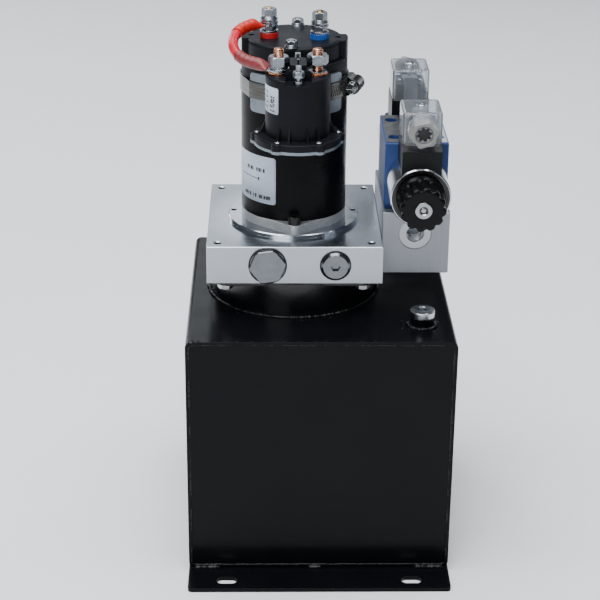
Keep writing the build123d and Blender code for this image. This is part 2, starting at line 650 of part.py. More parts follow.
def terminal_nuts():
    """Nuts and washers on the four main studs, the coil studs and the through bolts."""
    pieces = []
    first = CAP_TOP + 4.2
    for side in (-1, 1):
        lug_top = first + (6.4 if side < 0 else 4.6)
        stack = [
            washer(6.6, 3.0, first, first + 1.2),
            hex_nut(9.4, first + 1.2, first + 4.6) - zrod(3.0, first, first + 6),
            washer(6.6, 3.0, lug_top, lug_top + 1.2),
            washer(5.6, 3.0, lug_top + 1.3, lug_top + 2.9),
            flange_nut(9.6, 6.5, lug_top + 3.0, 7.6, 3.0),
        ]
        pieces += [on_cap(Pos(side * TERMINAL_X, TERMINAL_Y, 0) * item) for item in stack]
    for side in (-1, 1):
        bolt = flange_nut(7.6, 5.4, CAP_TOP, 5.0, 2.5) + zrod(2.5, 252.0, CAP_TOP + 5.6)
        pieces.append(on_cap(Pos(0, side * THROUGH_BOLT_R, 0) * bolt))
    left = [
        washer(7.0, 3.75, 377.0, 378.6),
        washer(7.4, 3.75, 380.2, 381.0),
        washer(6.4, 3.75, 381.0, 382.6),
        hex_nut(12.8, 382.6, 389.6),
    ]
    right = [washer(7.0, 3.75, 377.0, 377.9), washer(6.4, 3.75, 378.0, 379.2), hex_nut(12.8, 384.0, 391.0)]
    for side, stack in ((-1, left), (1, right)):
        for item in stack:
            place = Pos(CON_X + side * STUD_OFFSET, CON_Y, 0)
            pieces.append(place * (item - zrod(3.75, 370, 400)))
    for y in COIL_STUD_Y:
        stud = zrod(2.0, 372.0, 387.0) + hex_nut(7.0, 380.0, 383.2) + zrod(4.2, 379.0, 380.2)
        stud += zrod(3.6, COIL_STUD_FLOOR, COIL_STUD_FLOOR + 2.6)
        pieces.append(Pos(CON_X, y, 0) * stud)
    return pieces


def motor_screws():
    screw = Pos(0, 0, COVER_TOP) * screw_down(4.6, 6.0, 3.0, 19.0, 5.0)
    return [on_axis(Pos(0, side * EAR_OFFSET, 0) * screw) for side in (-1, 1)]


# ---------------------------------------------------------------- contactor

def flange_outline(margin):
    """Round flange with a lobe at each screw."""
    outline = Circle(30.6 + margin)
    for angle in FLANGE_SCREW_ANGLES:
        lobe = Circle(4.4 + margin)
        outline += Rot(0, 0, angle) * Pos(FLANGE_SCREW_R, 0, 0) * lobe
    return outline


def gusset():
    """Thin rib from the flange's edge up to the body."""
    side = Polygon((21.5, 0), (26.3, 0), (22.0, 12.0), align=None)
    return Rot(90, 0, 0) * extrude(side, 0.7, both=True)


def contactor_housing():
    outline = flange_outline(0) & Pos(0, FLANGE_BACK - 50, 0) * Rectangle(100, 100)
    flange = Pos(0, 0, FLANGE_BOTTOM) * extrude(outline, FLANGE_TOP - FLANGE_BOTTOM)
    flange = fillet(flange.edges().group_by(Axis.Z)[-1], 1.0)
    barrel = zrod(CON_R, FLANGE_BOTTOM, CON_TOP)
    barrel = fillet(barrel.edges().group_by(Axis.Z)[-1], 1.2)
    body = flange + barrel
    for angle in (0, 180, -56, -75, -105, -124):
        body += Rot(0, 0, angle) * Pos(0, 0, FLANGE_TOP - 0.2) * gusset()
    barrier = box(-5.8, 5.8, -8.0, 12.4, CON_TOP - 1, 385.0)
    barrier = fillet(barrier.edges().filter_by(Axis.Z), 2.5)
    barrier -= box(-0.6, 0.6, -9.0, 14.0, 381.0, 386.0)
    body += barrier
    shield = box(-9.6, 9.6, -9.5, -7.0, CON_TOP - 4, 381.5)
    body += fillet(shield.edges().filter_by(Axis.Y).group_by(Axis.Z)[-1], 3.5)
    for y, reach in ((COIL_STUD_Y[0] - CON_Y, -9.5), (COIL_STUD_Y[1] - CON_Y, 13.0)):
        far = math.copysign(CON_R + 1, y)
        low, high = min(far, reach), max(far, reach)
        body -= box(-9.0, 9.0, low, high, COIL_STUD_FLOOR, CON_TOP + 3)
    body -= zrod(CON_R - 2.5, FLANGE_BOTTOM - 1, COIL_STUD_FLOOR - 3.0)
    for side in (-1, 1):
        body -= zrod(3.75, 365, 400, side * STUD_OFFSET, 0)
    for y in COIL_STUD_Y:
        body -= zrod(2.0, 365, CON_TOP, 0, y - CON_Y)
    for angle in FLANGE_SCREW_ANGLES:
        body -= Rot(0, 0, angle) * zrod(1.2, FLANGE_BOTTOM - 1, FLANGE_TOP + 1, FLANGE_SCREW_R, 0)
    return Pos(CON_X, CON_Y, 0) * body


def saddle_arc(half_angle):
    """Slice of ring that lies on the motor's front, seen from above."""
    ring = Circle(SADDLE_R + PLATE_THICK) - Circle(SADDLE_R)
    reach = 2 * MOTOR_R
    side, ahead = reach * math.sin(math.radians(half_angle)), -reach * math.cos(math.radians(half_angle))
    ring &= Polygon((0, 0), (-side, ahead), (side, ahead), align=None)
    return Pos(AXIS_X, AXIS_Y) * Rot(0, 0, SADDLE_TURN) * ring


def contactor_bracket():
    """Base plate under the flange, and a saddle that the band pulls onto the motor."""
    bottom = FLANGE_BOTTOM - PLATE_THICK
    base = Pos(CON_X, CON_Y, bottom) * extrude(flange_outline(0.2), PLATE_THICK)
    for x, y in flange_screw_places():
        base -= zrod(1.2, bottom - 1, FLANGE_BOTTOM + 1, x, y)
    base -= zrod(SADDLE_R, bottom - 1, FLANGE_BOTTOM + 1, AXIS_X, AXIS_Y)
    neck = Pos(0, 0, bottom) * extrude(saddle_arc(SADDLE_NECK_ANGLE), SADDLE_Z0 + 1 - bottom)
    saddle = Pos(0, 0, SADDLE_Z0) * extrude(saddle_arc(SADDLE_HALF_ANGLE), SADDLE_Z1 - SADDLE_Z0)
    corner_edges = saddle.edges().filter_by(GeomType.LINE).filter_by(Axis.Z, reverse=True)
    return base + neck + fillet(corner_edges, 3.0)


def contactor_coil():
    """Bobbin with its winding, and the fixed steel core below the plunger."""
    bobbin = tube(8.9, 8.0, 331.0, 356.0) + tube(19.5, 8.0, 331.0, 332.2) + tube(19.5, 8.0, 354.8, 356.0)
    winding = tube(18.0, 8.9, 332.2, 354.8)
    core = zrod(7.9, FLANGE_BOTTOM, 338.0)
    return [Pos(CON_X, CON_Y, 0) * piece for piece in (bobbin, winding, core)]


def contactor_plunger():
    """Plunger with its contact disc; it rises to bridge the two studs."""
    rod = zrod(7.6, 341.0, 357.0) + zrod(2.5, 356.5, 363.0)
    disc = tube(17.5, 2.4, 360.0, 362.5)
    return Pos(CON_X, CON_Y, 0) * (rod + disc)


def contactor_spring():
    return Pos(CON_X, CON_Y, 0) * spring(4.2, 0.55, 365.6, 370.2, 3)


# ---------------------------------------------------------------- clamp

def clamp_outline(offset_by):
    """Taut line round the motor and over the saddle."""
    circle = Pos(AXIS_X, AXIS_Y) * Circle(MOTOR_R)
    hull = make_hull(circle.edges() + saddle_arc(SADDLE_HALF_ANGLE).edges())
    return offset(hull, offset_by, kind=Kind.ARC)


def clamp_band():
    ring = clamp_outline(BAND_THICK + BAND_GAP) - clamp_outline(BAND_GAP)
    return Pos(0, 0, BAND_Z0) * extrude(ring, BAND_Z1 - BAND_Z0)


# The worm housing stands where the band leaves the motor for the saddle's right edge.
SADDLE_END = math.radians(SADDLE_HALF_ANGLE + SADDLE_TURN)
RUN_ANGLE = SADDLE_END - math.asin(MOTOR_R / (SADDLE_R + PLATE_THICK))
CLAMP_R = MOTOR_R + BAND_GAP + BAND_THICK
CLAMP_PLACE = (
    AXIS_X + CLAMP_R * math.cos(RUN_ANGLE),
    AXIS_Y + CLAMP_R * math.sin(RUN_ANGLE),
    (BAND_Z0 + BAND_Z1) / 2,
)


def on_band(shape):
    """Place a shape whose +X points out of the band and whose -Y is the screw's head."""
    return Pos(*CLAMP_PLACE) * Rot(0, 0, math.degrees(RUN_ANGLE)) * shape


def clamp_housing():
    shell = yrod(WORM_R + 1.3, -7.0, 7.0, WORM_OUT, 0)
    saddle = box(0.0, WORM_OUT, -7.0, 7.0, -(BAND_Z1 - BAND_Z0) / 2 - 1.0, (BAND_Z1 - BAND_Z0) / 2 + 1.0)
    saddle = chamfer(saddle.edges().filter_by(Axis.Y).group_by(Axis.X)[-1], 2.6)
    return on_band(shell + saddle - yrod(WORM_R, -8.0, 8.0, WORM_OUT, 0) - box(-1, 0.0, -9, 9, -9, 9))


def clamp_screw():
    worm = yrod(WORM_R - 0.3, -7.4, 6.4, WORM_OUT, 0)
    head = Pos(WORM_OUT, -7.4, 0) * Rot(90, 0, 0) * hex_nut(7.0, 0, 4.6)
    collar = yrod(4.6, -8.8, -7.3, WORM_OUT, 0)
    slot = box(WORM_OUT - 4, WORM_OUT + 4, -13, -10.6, -0.6, 0.6)
    return on_band(worm + head + collar - slot)


# ---------------------------------------------------------------- valve manifold and valve

def valve_manifold():
    block = box(BLOCK_X1, VMAN_X1, VMAN_Y0, VMAN_Y1, VMAN_Z0, VMAN_Z1)
    block = chamfer(block.edges(), 0.5)
    for face, inward in ((VMAN_Y0, 1), (VMAN_Y1, -1)):
        for radius, depth in ((PORT_R, PORT_DEPTH), (PORT_FACE_R, 0.6)):
            ends = sorted((face - inward, face + inward * depth))
            block -= yrod(radius, ends[0], ends[1], VALVE_X, PORT_Z)
    for y in GALLERY_Y:
        block -= xrod(GALLERY_R, BLOCK_X1 - 1, VALVE_X + GALLERY_R, y, GALLERY_Z)
        block -= zrod(GALLERY_R, GALLERY_Z, VMAN_Z1 + 1, VALVE_X, y)
    for x, y in corners(VALVE_X, VALVE_MID_Y, VALVE_BOLT_X, VALVE_BOLT_Y):
        block -= zrod(2.5, VMAN_Z1 - 13, VMAN_Z1 + 1, x, y)
    for y in SIDE_BOLT_Y:
        block -= xrod(3.1, BLOCK_X1 - 1, VMAN_X1, y, SIDE_BOLT_Z)
        block -= xrod(5.6, VMAN_X1 - 14, VMAN_X1 + 1, y, SIDE_BOLT_Z)
    return block


def valve_body():
    x0, x1 = VALVE_X - VALVE_HALF_W, VALVE_X + VALVE_HALF_W
    y0, y1 = VALVE_MID_Y - VALVE_HALF_L, VALVE_MID_Y + VALVE_HALF_L
    body = box(x0, x1, y0, y1, VMAN_Z1, VALVE_TOP)
    body = fillet(body.edges().filter_by(Axis.Z), 1.2)
    body = fillet(body.edges().group_by(Axis.Z)[-1], 0.8)
    body -= box(x0 - 1, x0 + 0.4, y0 - 1, y1 + 1, VMAN_Z1 - 1, VMAN_Z1 + 3.6)
    body -= box(x1 - 0.4, x1 + 1, y0 - 1, y1 + 1, VMAN_Z1 - 1, VMAN_Z1 + 3.6)
    body -= box(x0 - 1, x1 + 1, y0 - 1, y0 + 0.4, VMAN_Z1 - 1, VMAN_Z1 + 3.6)
    body -= box(x0 - 1, x1 + 1, y1 - 0.4, y1 + 1, VMAN_Z1 - 1, VMAN_Z1 + 3.6)
    body -= yrod(SPOOL_R + RUN_GAP, y0 - 1, y1 + 1, VALVE_X, VALVE_AXIS_Z)
    for face, inward in ((y0, 1), (y1, -1)):
        for radius, depth in ((CORE_R + 0.5, 14.0), (8.6, 21.0)):
            ends = sorted((face - inward, face + inward * depth))
            body -= yrod(radius, ends[0], ends[1], VALVE_X, VALVE_AXIS_Z)
    for y in GALLERY_Y:
        body -= zrod(GALLERY_R, VMAN_Z1 - 1, VALVE_AXIS_Z, VALVE_X, y)
    for x, y in corners(VALVE_X, VALVE_MID_Y, VALVE_BOLT_X, VALVE_BOLT_Y):
        body -= zrod(2.7, VMAN_Z1 - 1, VALVE_TOP, x, y)
        body -= zrod(4.6, 280.0, VALVE_TOP + 1, x, y)
    return body


def valve_nameplate():
    """Thin plate on the valve's top, cut round the four bolts."""
    plate_y0, plate_y1 = VALVE_MID_Y - 32.0, VALVE_MID_Y + 32.0
    plate = box(VALVE_X - 21.9, VALVE_X + 21.9, plate_y0, plate_y1, VALVE_TOP, VALVE_TOP + 0.5)
    plate = fillet(plate.edges().filter_by(Axis.Z), 1.0)
    for x, y in corners(VALVE_X, VALVE_MID_Y, VALVE_BOLT_X, VALVE_BOLT_Y):
        plate -= zrod(4.9, VALVE_TOP - 1, VALVE_TOP + 1, x, y)
    return plate


def spool():
    """Valve spool with three grooves between its lands."""
    shape = zrod(SPOOL_R, -16.5, 16.5)
    for middle in (-9.5, 0.0, 9.5):
        shape -= tube(SPOOL_R + 1, 3.6, middle - 2.2, middle + 2.2)
    return Pos(VALVE_X, VALVE_MID_Y, VALVE_AXIS_Z) * Rot(90, 0, 0) * shape


def centring_springs():
    return both_solenoids(spring(7.5, 0.6, -20.4, -14.8, 3))


def core_tubes():
    """Screwed-in tube with its pole piece; its nose carries the nut and the override pin."""
    core = zrod(CORE_R + 0.5, -14.0, 0.0) + zrod(CORE_R, 0.0, 42.5) + zrod(NOSE_R, 42.0, KNOB_END + 0.4)
    core = fillet(core.edges().group_by(Axis.Z)[-1], 0.5)
    core -= zrod(PLUNGER_R + RUN_GAP, 3.0, 31.0)
    core -= zrod(2.2 + RUN_GAP, -15.0, 4.0)
    core -= zrod(PIN_R + RUN_GAP, 30.0, KNOB_END + 1.0)
    core -= Pos(0, 0, KNOB_END) * Cone(PIN_R, PIN_R + 1.0, 1.2)
    return both_solenoids(core)


def solenoid_plungers():
    plunger = zrod(PLUNGER_R, 8.0, 24.0) + zrod(2.2, -17.9, 9.0)
    return both_solenoids(plunger)


def override_pin():
    pin = zrod(PIN_R, 34.0, KNOB_END - 0.6)
    return fillet(pin.edges().group_by(Axis.Z)[-1], 1.4)


def solenoid_coils():
    """Steel shell with a rolled rim, and the moulded winding inside it."""
    shell = tube(COIL_R, WINDING_R, 0.3, COIL_LENGTH)
    shell = chamfer(shell.edges().filter_by(GeomType.CIRCLE).group_by(Axis.Z)[-1][0], 0.7)
    winding = tube(WINDING_R, CORE_R, 0.3, COIL_LENGTH - 1.0)
    return both_solenoids(shell) + both_solenoids(winding)


def coil_nut():
    """Moulded hand nut with a scalloped grip."""
    grip = zrod(KNOB_R, 44.0, 62.5)
    grip = fillet(grip.edges().filter_by(GeomType.CIRCLE).group_by(Axis.Z)[-1], 1.5)
    for lobe in range(12):
        grip -= Rot(0, 0, 30 * lobe) * zrod(2.6, 46.5, 64, KNOB_R + 0.9, 0)
    skirt = Pos(0, 0, 42.75) * Cone(17.4, KNOB_R, 2.9)
    face = zrod(12.6, 62.0, KNOB_END)
    face = fillet(face.edges().filter_by(GeomType.CIRCLE).group_by(Axis.Z)[-1], 2.0)
    nut = grip + skirt + face
    nut -= zrod(CORE_R + RUN_GAP, 41.0, 42.6)
    return nut - zrod(NOSE_R + RUN_GAP, 41.0, KNOB_END + 1)


def connector_bases():
    """Moulded block on top of the coil, bevelled at its outer end."""
    side = Polygon(
        (HOUSING_IN, 8.0), (HOUSING_IN, BASE_TOP), (HOUSING_OUT, BASE_TOP),
        (40.0, BASE_TOP - 3.3), (40.0, 8.0), align=None,
    )
    block = Rot(0, -90, 0) * extrude(side, 14.0, both=True)
    block -= zrod(COIL_R, -1, COIL_LENGTH + 1)
    return both_solenoids(block)


def connector_housing():
    """Clear cap, open below, with a round spout for the cable gland."""
    middle_y = (BASE_TOP + HOUSING_TOP) / 2
    outer = Box(2 * HOUSING_HALF_W, HOUSING_TOP - BASE_TOP, HOUSING_OUT - HOUSING_IN)
    outer = Pos(0, middle_y, HOUSING_MID) * outer
    outer = fillet(outer.edges().filter_by(Axis.Y), 2.5)
    outer = fillet(outer.edges().group_by(Axis.Y)[-1], 2.0)
    spout = Pos(0, GLAND_UP, 0) * zrod(10.4, HOUSING_OUT - 1, HOUSING_OUT + 5.5)
    cap = outer + spout
    wall = HOUSING_WALL
    inner = Box(2 * (HOUSING_HALF_W - wall), HOUSING_TOP - BASE_TOP, HOUSING_OUT - HOUSING_IN - 2 * wall)
    cap -= Pos(0, middle_y - wall, HOUSING_MID) * inner
    cap -= Pos(0, GLAND_UP, 0) * zrod(8.0, HOUSING_OUT - 3, HOUSING_OUT + 7)
    cap -= Pos(0, HOUSING_TOP, HOUSING_MID) * Rot(90, 0, 0) * Cylinder(1.6, 8)
    cap -= Pos(0, HOUSING_TOP, HOUSING_MID) * Rot(90, 0, 0) * Cylinder(3.6, 2)
    return cap


def terminal_blocks():
    """Moulded terminal carrier inside the cap, with four blades below it."""
    block = Pos(0, BASE_TOP + 6.5, HOUSING_MID - 1.5) * Box(22.0, 13.0, 25.0)
    block = chamfer(block.edges().group_by(Axis.Y)[-1], 1.0)
    tower = Pos(0, BASE_TOP + 8.6, HOUSING_IN + 6.0) * Box(10.0, 17.2, 7.0)
    hollow = Pos(0, BASE_TOP + 13, HOUSING_MID) * Rot(90, 0, 0) * Cylinder(1.55, 30)
    return both_solenoids(block + tower - hollow)


def gland_nuts():
    nut = zrod(10.3, HOUSING_OUT + 5.5, HOUSING_OUT + 14.4) & hex_prism(19.2, 40, 52, turn=12)
    nut = chamfer(nut.edges().group_by(Axis.Z)[-1], 1.0)
    nut -= zrod(6.0, 40, 52)
    sleeve = tube(7.9, 6.0, HOUSING_OUT, HOUSING_OUT + 6.5)
    return both_solenoids(Pos(0, GLAND_UP, 0) * (nut + sleeve))


# ---------------------------------------------------------------- jumper cable

def ring_lug(eye, thickness, reach, heading, rise):
    """Flat eye with a tongue and a barrel that runs out along the heading."""
    plate = zrod(6.3, -thickness / 2, thickness / 2)
    plate += box(0, reach, -3.6, 3.6, -thickness / 2, thickness / 2)
    plate -= zrod(eye, -3, 3)
    barrel = xrod(LUG_BARREL_R, reach - 0.4, reach - 0.4 + LUG_BARREL_LENGTH, 0, rise)
    return Rot(0, 0, heading) * (plate + barrel)


def cable_lugs():
    motor_lug = on_cap(Pos(-TERMINAL_X, TERMINAL_Y, CAP_TOP + 9.7) * ring_lug(3.0, 1.6, 7.5, 217, 1.1))
    stud_lug = Pos(CON_X - STUD_OFFSET, CON_Y, 379.4) * ring_lug(3.75, 1.5, 8.0, 155, 2.3)
    return [motor_lug, stud_lug]


def corner_radii(points):
    radii = []
    for before, here, after in zip(points, points[1:], points[2:]):
        run_in = Vector(*here) - Vector(*before)
        run_out = Vector(*after) - Vector(*here)
        half_turn = math.radians(run_in.get_angle(run_out)) / 2
        radii.append(0.45 * min(run_in.length, run_out.length) / math.tan(half_turn))
    return radii


def swept_tube(points, radius):
    path = FilletPolyline(*points, radius=corner_radii(points))
    section = Plane(path @ 0, z_dir=path % 0) * Circle(radius)
    return sweep(section, path=path), path.length


def cable_sleeves():
    """Shrunk sleeve over each lug's barrel and the first stretch of cable."""
    sleeves = []
    for route in (CABLE_ROUTE[:4], CABLE_ROUTE[:-5:-1]):
        end = (Vector(*route[2]) + Vector(*route[3])) * 0.5
        outer, _ = swept_tube([*route[:3], tuple(end)], SLEEVE_R)
        inner, _ = swept_tube([*route[:3], tuple(end)], CABLE_R)
        start = Vector(*route[0])
        back = (start - Vector(*route[1])).normalized()
        neck = Plane(origin=start, z_dir=back) * tube(SLEEVE_R, CABLE_R, 0, SLEEVE_OVER_BARREL)
        sleeves.append(outer - inner + neck)
    return sleeves


def jumper_cable():
    shape, length = swept_tube(CABLE_ROUTE, CABLE_R)
    print("cable radii", [round(r, 1) for r in corner_radii(CABLE_ROUTE)])
    straight_volume = math.pi * CABLE_R ** 2 * length
    print("cable length", round(length, 2), "volume ratio", round(shape.volume / straight_volume, 4))
    return shape


NODES = {
    "tank_shell": tank_shell,
    "tank_end_panels": tank_end_panels,
    "tank_neck": tank_neck,
    "neck_gasket": neck_gasket,
    "tank_feet": tank_feet,
    "filler_boss": filler_boss,
    "filler_plug": filler_plug,
    "main_manifold": main_manifold,
    "adapter_flange": adapter_flange,
    "check_plug": check_plug,
    "relief_plug": relief_plug,
    "check_poppet": check_poppet,
    "relief_poppet": relief_poppet,
    "poppet_springs": poppet_springs,
    "pump_body": pump_body,
    "pump_cover": pump_cover,
    "drive_gear": drive_gear,
    "driven_gear": driven_gear,
    "shaft_coupling": shaft_coupling,
    "oil_tubes": oil_tubes,
    "suction_strainer": suction_strainer,
    "assembly_screws": assembly_screws,
    "drive_cover": drive_cover,
    "motor_housing": motor_housing,
    "motor_end_cap": motor_end_cap,
    "magnets": magnets,
    "armature": armature,
    "motor_bearings": motor_bearings,
    "brush_gear": brush_gear,
    "terminal_studs": terminal_studs,
    "terminal_insulators": terminal_insulators,
    "terminal_nuts": terminal_nuts,
    "motor_screws": motor_screws,
    "contactor_housing": contactor_housing,
    "contactor_bracket": contactor_bracket,
    "contactor_coil": contactor_coil,
    "contactor_plunger": contactor_plunger,
    "contactor_spring": contactor_spring,
    "clamp_band": clamp_band,
    "clamp_housing": clamp_housing,
    "clamp_screw": clamp_screw,
    "valve_manifold": valve_manifold,
    "valve_body": valve_body,
    "valve_nameplate": valve_nameplate,
    "spool": spool,
    "centring_springs": centring_springs,
    "core_tubes": core_tubes,
    "solenoid_plungers": solenoid_plungers,
    "front_override_pin": lambda: both_solenoids(override_pin())[0],
    "rear_override_pin": lambda: both_solenoids(override_pin())[1],
    "solenoid_coils": solenoid_coils,
    "front_coil_nut": lambda: both_solenoids(coil_nut())[0],
    "rear_coil_nut": lambda: both_solenoids(coil_nut())[1],
    "connector_bases": connector_bases,
    "connector_housings": lambda: both_solenoids(connector_housing()),
    "terminal_blocks": terminal_blocks,
    "gland_nuts": gland_nuts,
    "cable_lugs": cable_lugs,
    "cable_sleeves": cable_sleeves,
    "jumper_cable": jumper_cable,
}

os.makedirs("parts", exist_ok=True)
for node, make in NODES.items():
    shape = make()
    if isinstance(shape, list):
        shape = Compound(children=shape)
    export_step(shape, f"parts/{node}.step")
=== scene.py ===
import math

import bmesh
import bpy
from mathutils import Matrix, Vector, noise
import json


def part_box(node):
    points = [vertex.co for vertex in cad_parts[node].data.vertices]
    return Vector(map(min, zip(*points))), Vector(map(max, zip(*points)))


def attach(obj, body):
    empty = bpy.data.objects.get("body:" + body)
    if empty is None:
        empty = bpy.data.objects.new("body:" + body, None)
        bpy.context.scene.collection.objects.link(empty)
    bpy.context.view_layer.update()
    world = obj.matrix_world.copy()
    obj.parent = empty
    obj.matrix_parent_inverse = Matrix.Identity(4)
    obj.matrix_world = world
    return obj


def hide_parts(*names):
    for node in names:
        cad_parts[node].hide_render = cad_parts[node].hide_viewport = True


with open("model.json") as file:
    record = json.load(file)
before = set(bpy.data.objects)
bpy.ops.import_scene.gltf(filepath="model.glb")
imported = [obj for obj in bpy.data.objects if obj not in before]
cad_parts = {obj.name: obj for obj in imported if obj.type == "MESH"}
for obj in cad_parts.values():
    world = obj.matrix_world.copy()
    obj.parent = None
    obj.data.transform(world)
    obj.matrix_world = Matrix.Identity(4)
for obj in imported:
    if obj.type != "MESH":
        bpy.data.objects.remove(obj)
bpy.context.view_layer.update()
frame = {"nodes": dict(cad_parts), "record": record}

MM = 0.001
UNIT = "unit"


# ---------------------------------------------------------------- places read from the frame

def middle(node):
    low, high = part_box(node)
    return (low + high) / 2


TANK_LOW, TANK_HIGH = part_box("tank_shell")
NECK_LOW, NECK_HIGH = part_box("tank_neck")
BLOCK_LOW, BLOCK_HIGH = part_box("main_manifold")
VMAN_LOW, VMAN_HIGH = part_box("valve_manifold")
VALVE_LOW, VALVE_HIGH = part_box("valve_body")
MOTOR_LOW, MOTOR_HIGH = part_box("motor_housing")
MOTOR = middle("motor_housing")
MOTOR_R = (MOTOR_HIGH.x - MOTOR_LOW.x) / 2
DISC_R = (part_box("adapter_flange")[1].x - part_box("adapter_flange")[0].x) / 2
NECK_R = (NECK_HIGH.x - NECK_LOW.x) / 2
RELAY = middle("contactor_coil")
RELAY_R = 22.7 * MM
RELAY_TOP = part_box("contactor_housing")[1].z - 8.0 * MM
COPPER_TOP = RELAY_TOP + 1.65 * MM
FILLER = middle("filler_boss")
CHECK_PLUG = middle("check_plug")
RELIEF_PLUG = middle("relief_plug")
BAND_LOW, BAND_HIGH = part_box("clamp_band")
SADDLE_END = -35.1
BAND_ON_SADDLE_R = 41.85 * MM
BAND_ON_MOTOR_R = 39.8 * MM
BAND_RUN_ANGLE = math.radians(-16.9)
VALVE_X = middle("valve_body").x
COIL_Z = middle("core_tubes").z
COIL_RIM_R = 20.6 * MM
PORT_Z = 250.4 * MM
PORT_R = 6.6 * MM
SPOTFACE_R = 11.3 * MM
CORNER_HOLES = [(x * MM, y * MM) for x in (-75.0, 37.0) for y in (-51.5, 65.5)]
MOTOR_CAP_TURN = math.radians(-5.0)
ALONG_Y = (1, 0, 1)
UPRIGHT_LINES = (1, 1, 0.02)
SOLENOIDS = (
    Matrix.Translation((VALVE_X, VALVE_LOW.y, COIL_Z)) @ Matrix.Rotation(math.pi / 2, 4, "X"),
    Matrix.Translation((VALVE_X, VALVE_HIGH.y, COIL_Z))
    @ Matrix.Rotation(math.pi, 4, "Z")
    @ Matrix.Rotation(math.pi / 2, 4, "X"),
)

# ---------------------------------------------------------------- camera and stage

CAMERA_PLACE = Vector((-0.0387, -1.1916, 0.7036))
CAMERA_YAW = math.radians(1.2)
CAMERA_PITCH = math.radians(23.74)
CAMERA_ROLL = math.radians(0.52)
CAMERA_LENS = 101.44


def camera():
    data = bpy.data.cameras.new("camera")
    data.lens = CAMERA_LENS
    data.sensor_width = 36.0
    data.clip_end = 50.0
    view = bpy.data.objects.new("camera", data)
    forward = Vector((
        math.sin(CAMERA_YAW) * math.cos(CAMERA_PITCH),
        math.cos(CAMERA_YAW) * math.cos(CAMERA_PITCH),
        -math.sin(CAMERA_PITCH),
    ))
    level = Vector((math.cos(CAMERA_YAW), -math.sin(CAMERA_YAW), 0.0))
    upward = level.cross(forward)
    right = math.cos(CAMERA_ROLL) * level + math.sin(CAMERA_ROLL) * upward
    up = -math.sin(CAMERA_ROLL) * level + math.cos(CAMERA_ROLL) * upward
    turn = Matrix((right, up, -forward)).transposed().to_4x4()
    view.matrix_world = Matrix.Translation(CAMERA_PLACE) @ turn
    bpy.context.scene.collection.objects.link(view)
    bpy.context.scene.camera = view


def area_light(name, place, target, width, height, power, colour=(1.0, 1.0, 1.0)):
    data = bpy.data.lights.new(name, "AREA")
    data.shape = "RECTANGLE"
    data.size = width
    data.size_y = height
    data.energy = power
    data.color = colour
    lamp = bpy.data.objects.new(name, data)
    aim = Vector(target) - Vector(place)
    lamp.matrix_world = Matrix.Translation(place) @ aim.to_track_quat("-Z", "Y").to_matrix().to_4x4()
    bpy.context.scene.collection.objects.link(lamp)


def studio():
    """Pale floor in a dim room, with soft lights above, in front and behind, and a strip for each edge."""
    area_light("top", (-0.2, -0.2, 2.4), (0, 0, 0.2), 2.4, 2.4, 125, (0.96, 0.98, 1.0))
    area_light("front", (-0.9, -2.3, 1.7), (0, 0, 0.2), 1.4, 1.2, 26)
    area_light("panel_behind", (-0.60, 2.3, 1.25), (-0.05, 0, 0.25), 1.5, 0.9, 6.5, (0.90, 0.95, 1.0))
    area_light("rim_left", (-1.05, 1.6, 0.95), (0, 0, 0.25), 0.30, 1.5, 7, (0.88, 0.94, 1.0))
    area_light("rim_right", (1.15, 1.4, 0.95), (0, 0, 0.25), 0.2, 1.5, 4, (0.88, 0.94, 1.0))
    world = bpy.data.worlds.new("room")
    world.use_nodes = True
    world.node_tree.nodes["Background"].inputs["Color"].default_value = (0.82, 0.88, 0.96, 1)
    world.node_tree.nodes["Background"].inputs["Strength"].default_value = 0.10
    bpy.context.scene.world = world
    bm = bmesh.new()
    bmesh.ops.create_grid(bm, x_segments=4, y_segments=4, size=6.0)
    mesh = bpy.data.meshes.new("floor")
    bm.to_mesh(mesh)
    bm.free()
    floor = bpy.data.objects.new("floor", mesh)
    bpy.context.scene.collection.objects.link(floor)
    mesh.materials.append(floor_finish())


# ---------------------------------------------------------------- procedural finishes

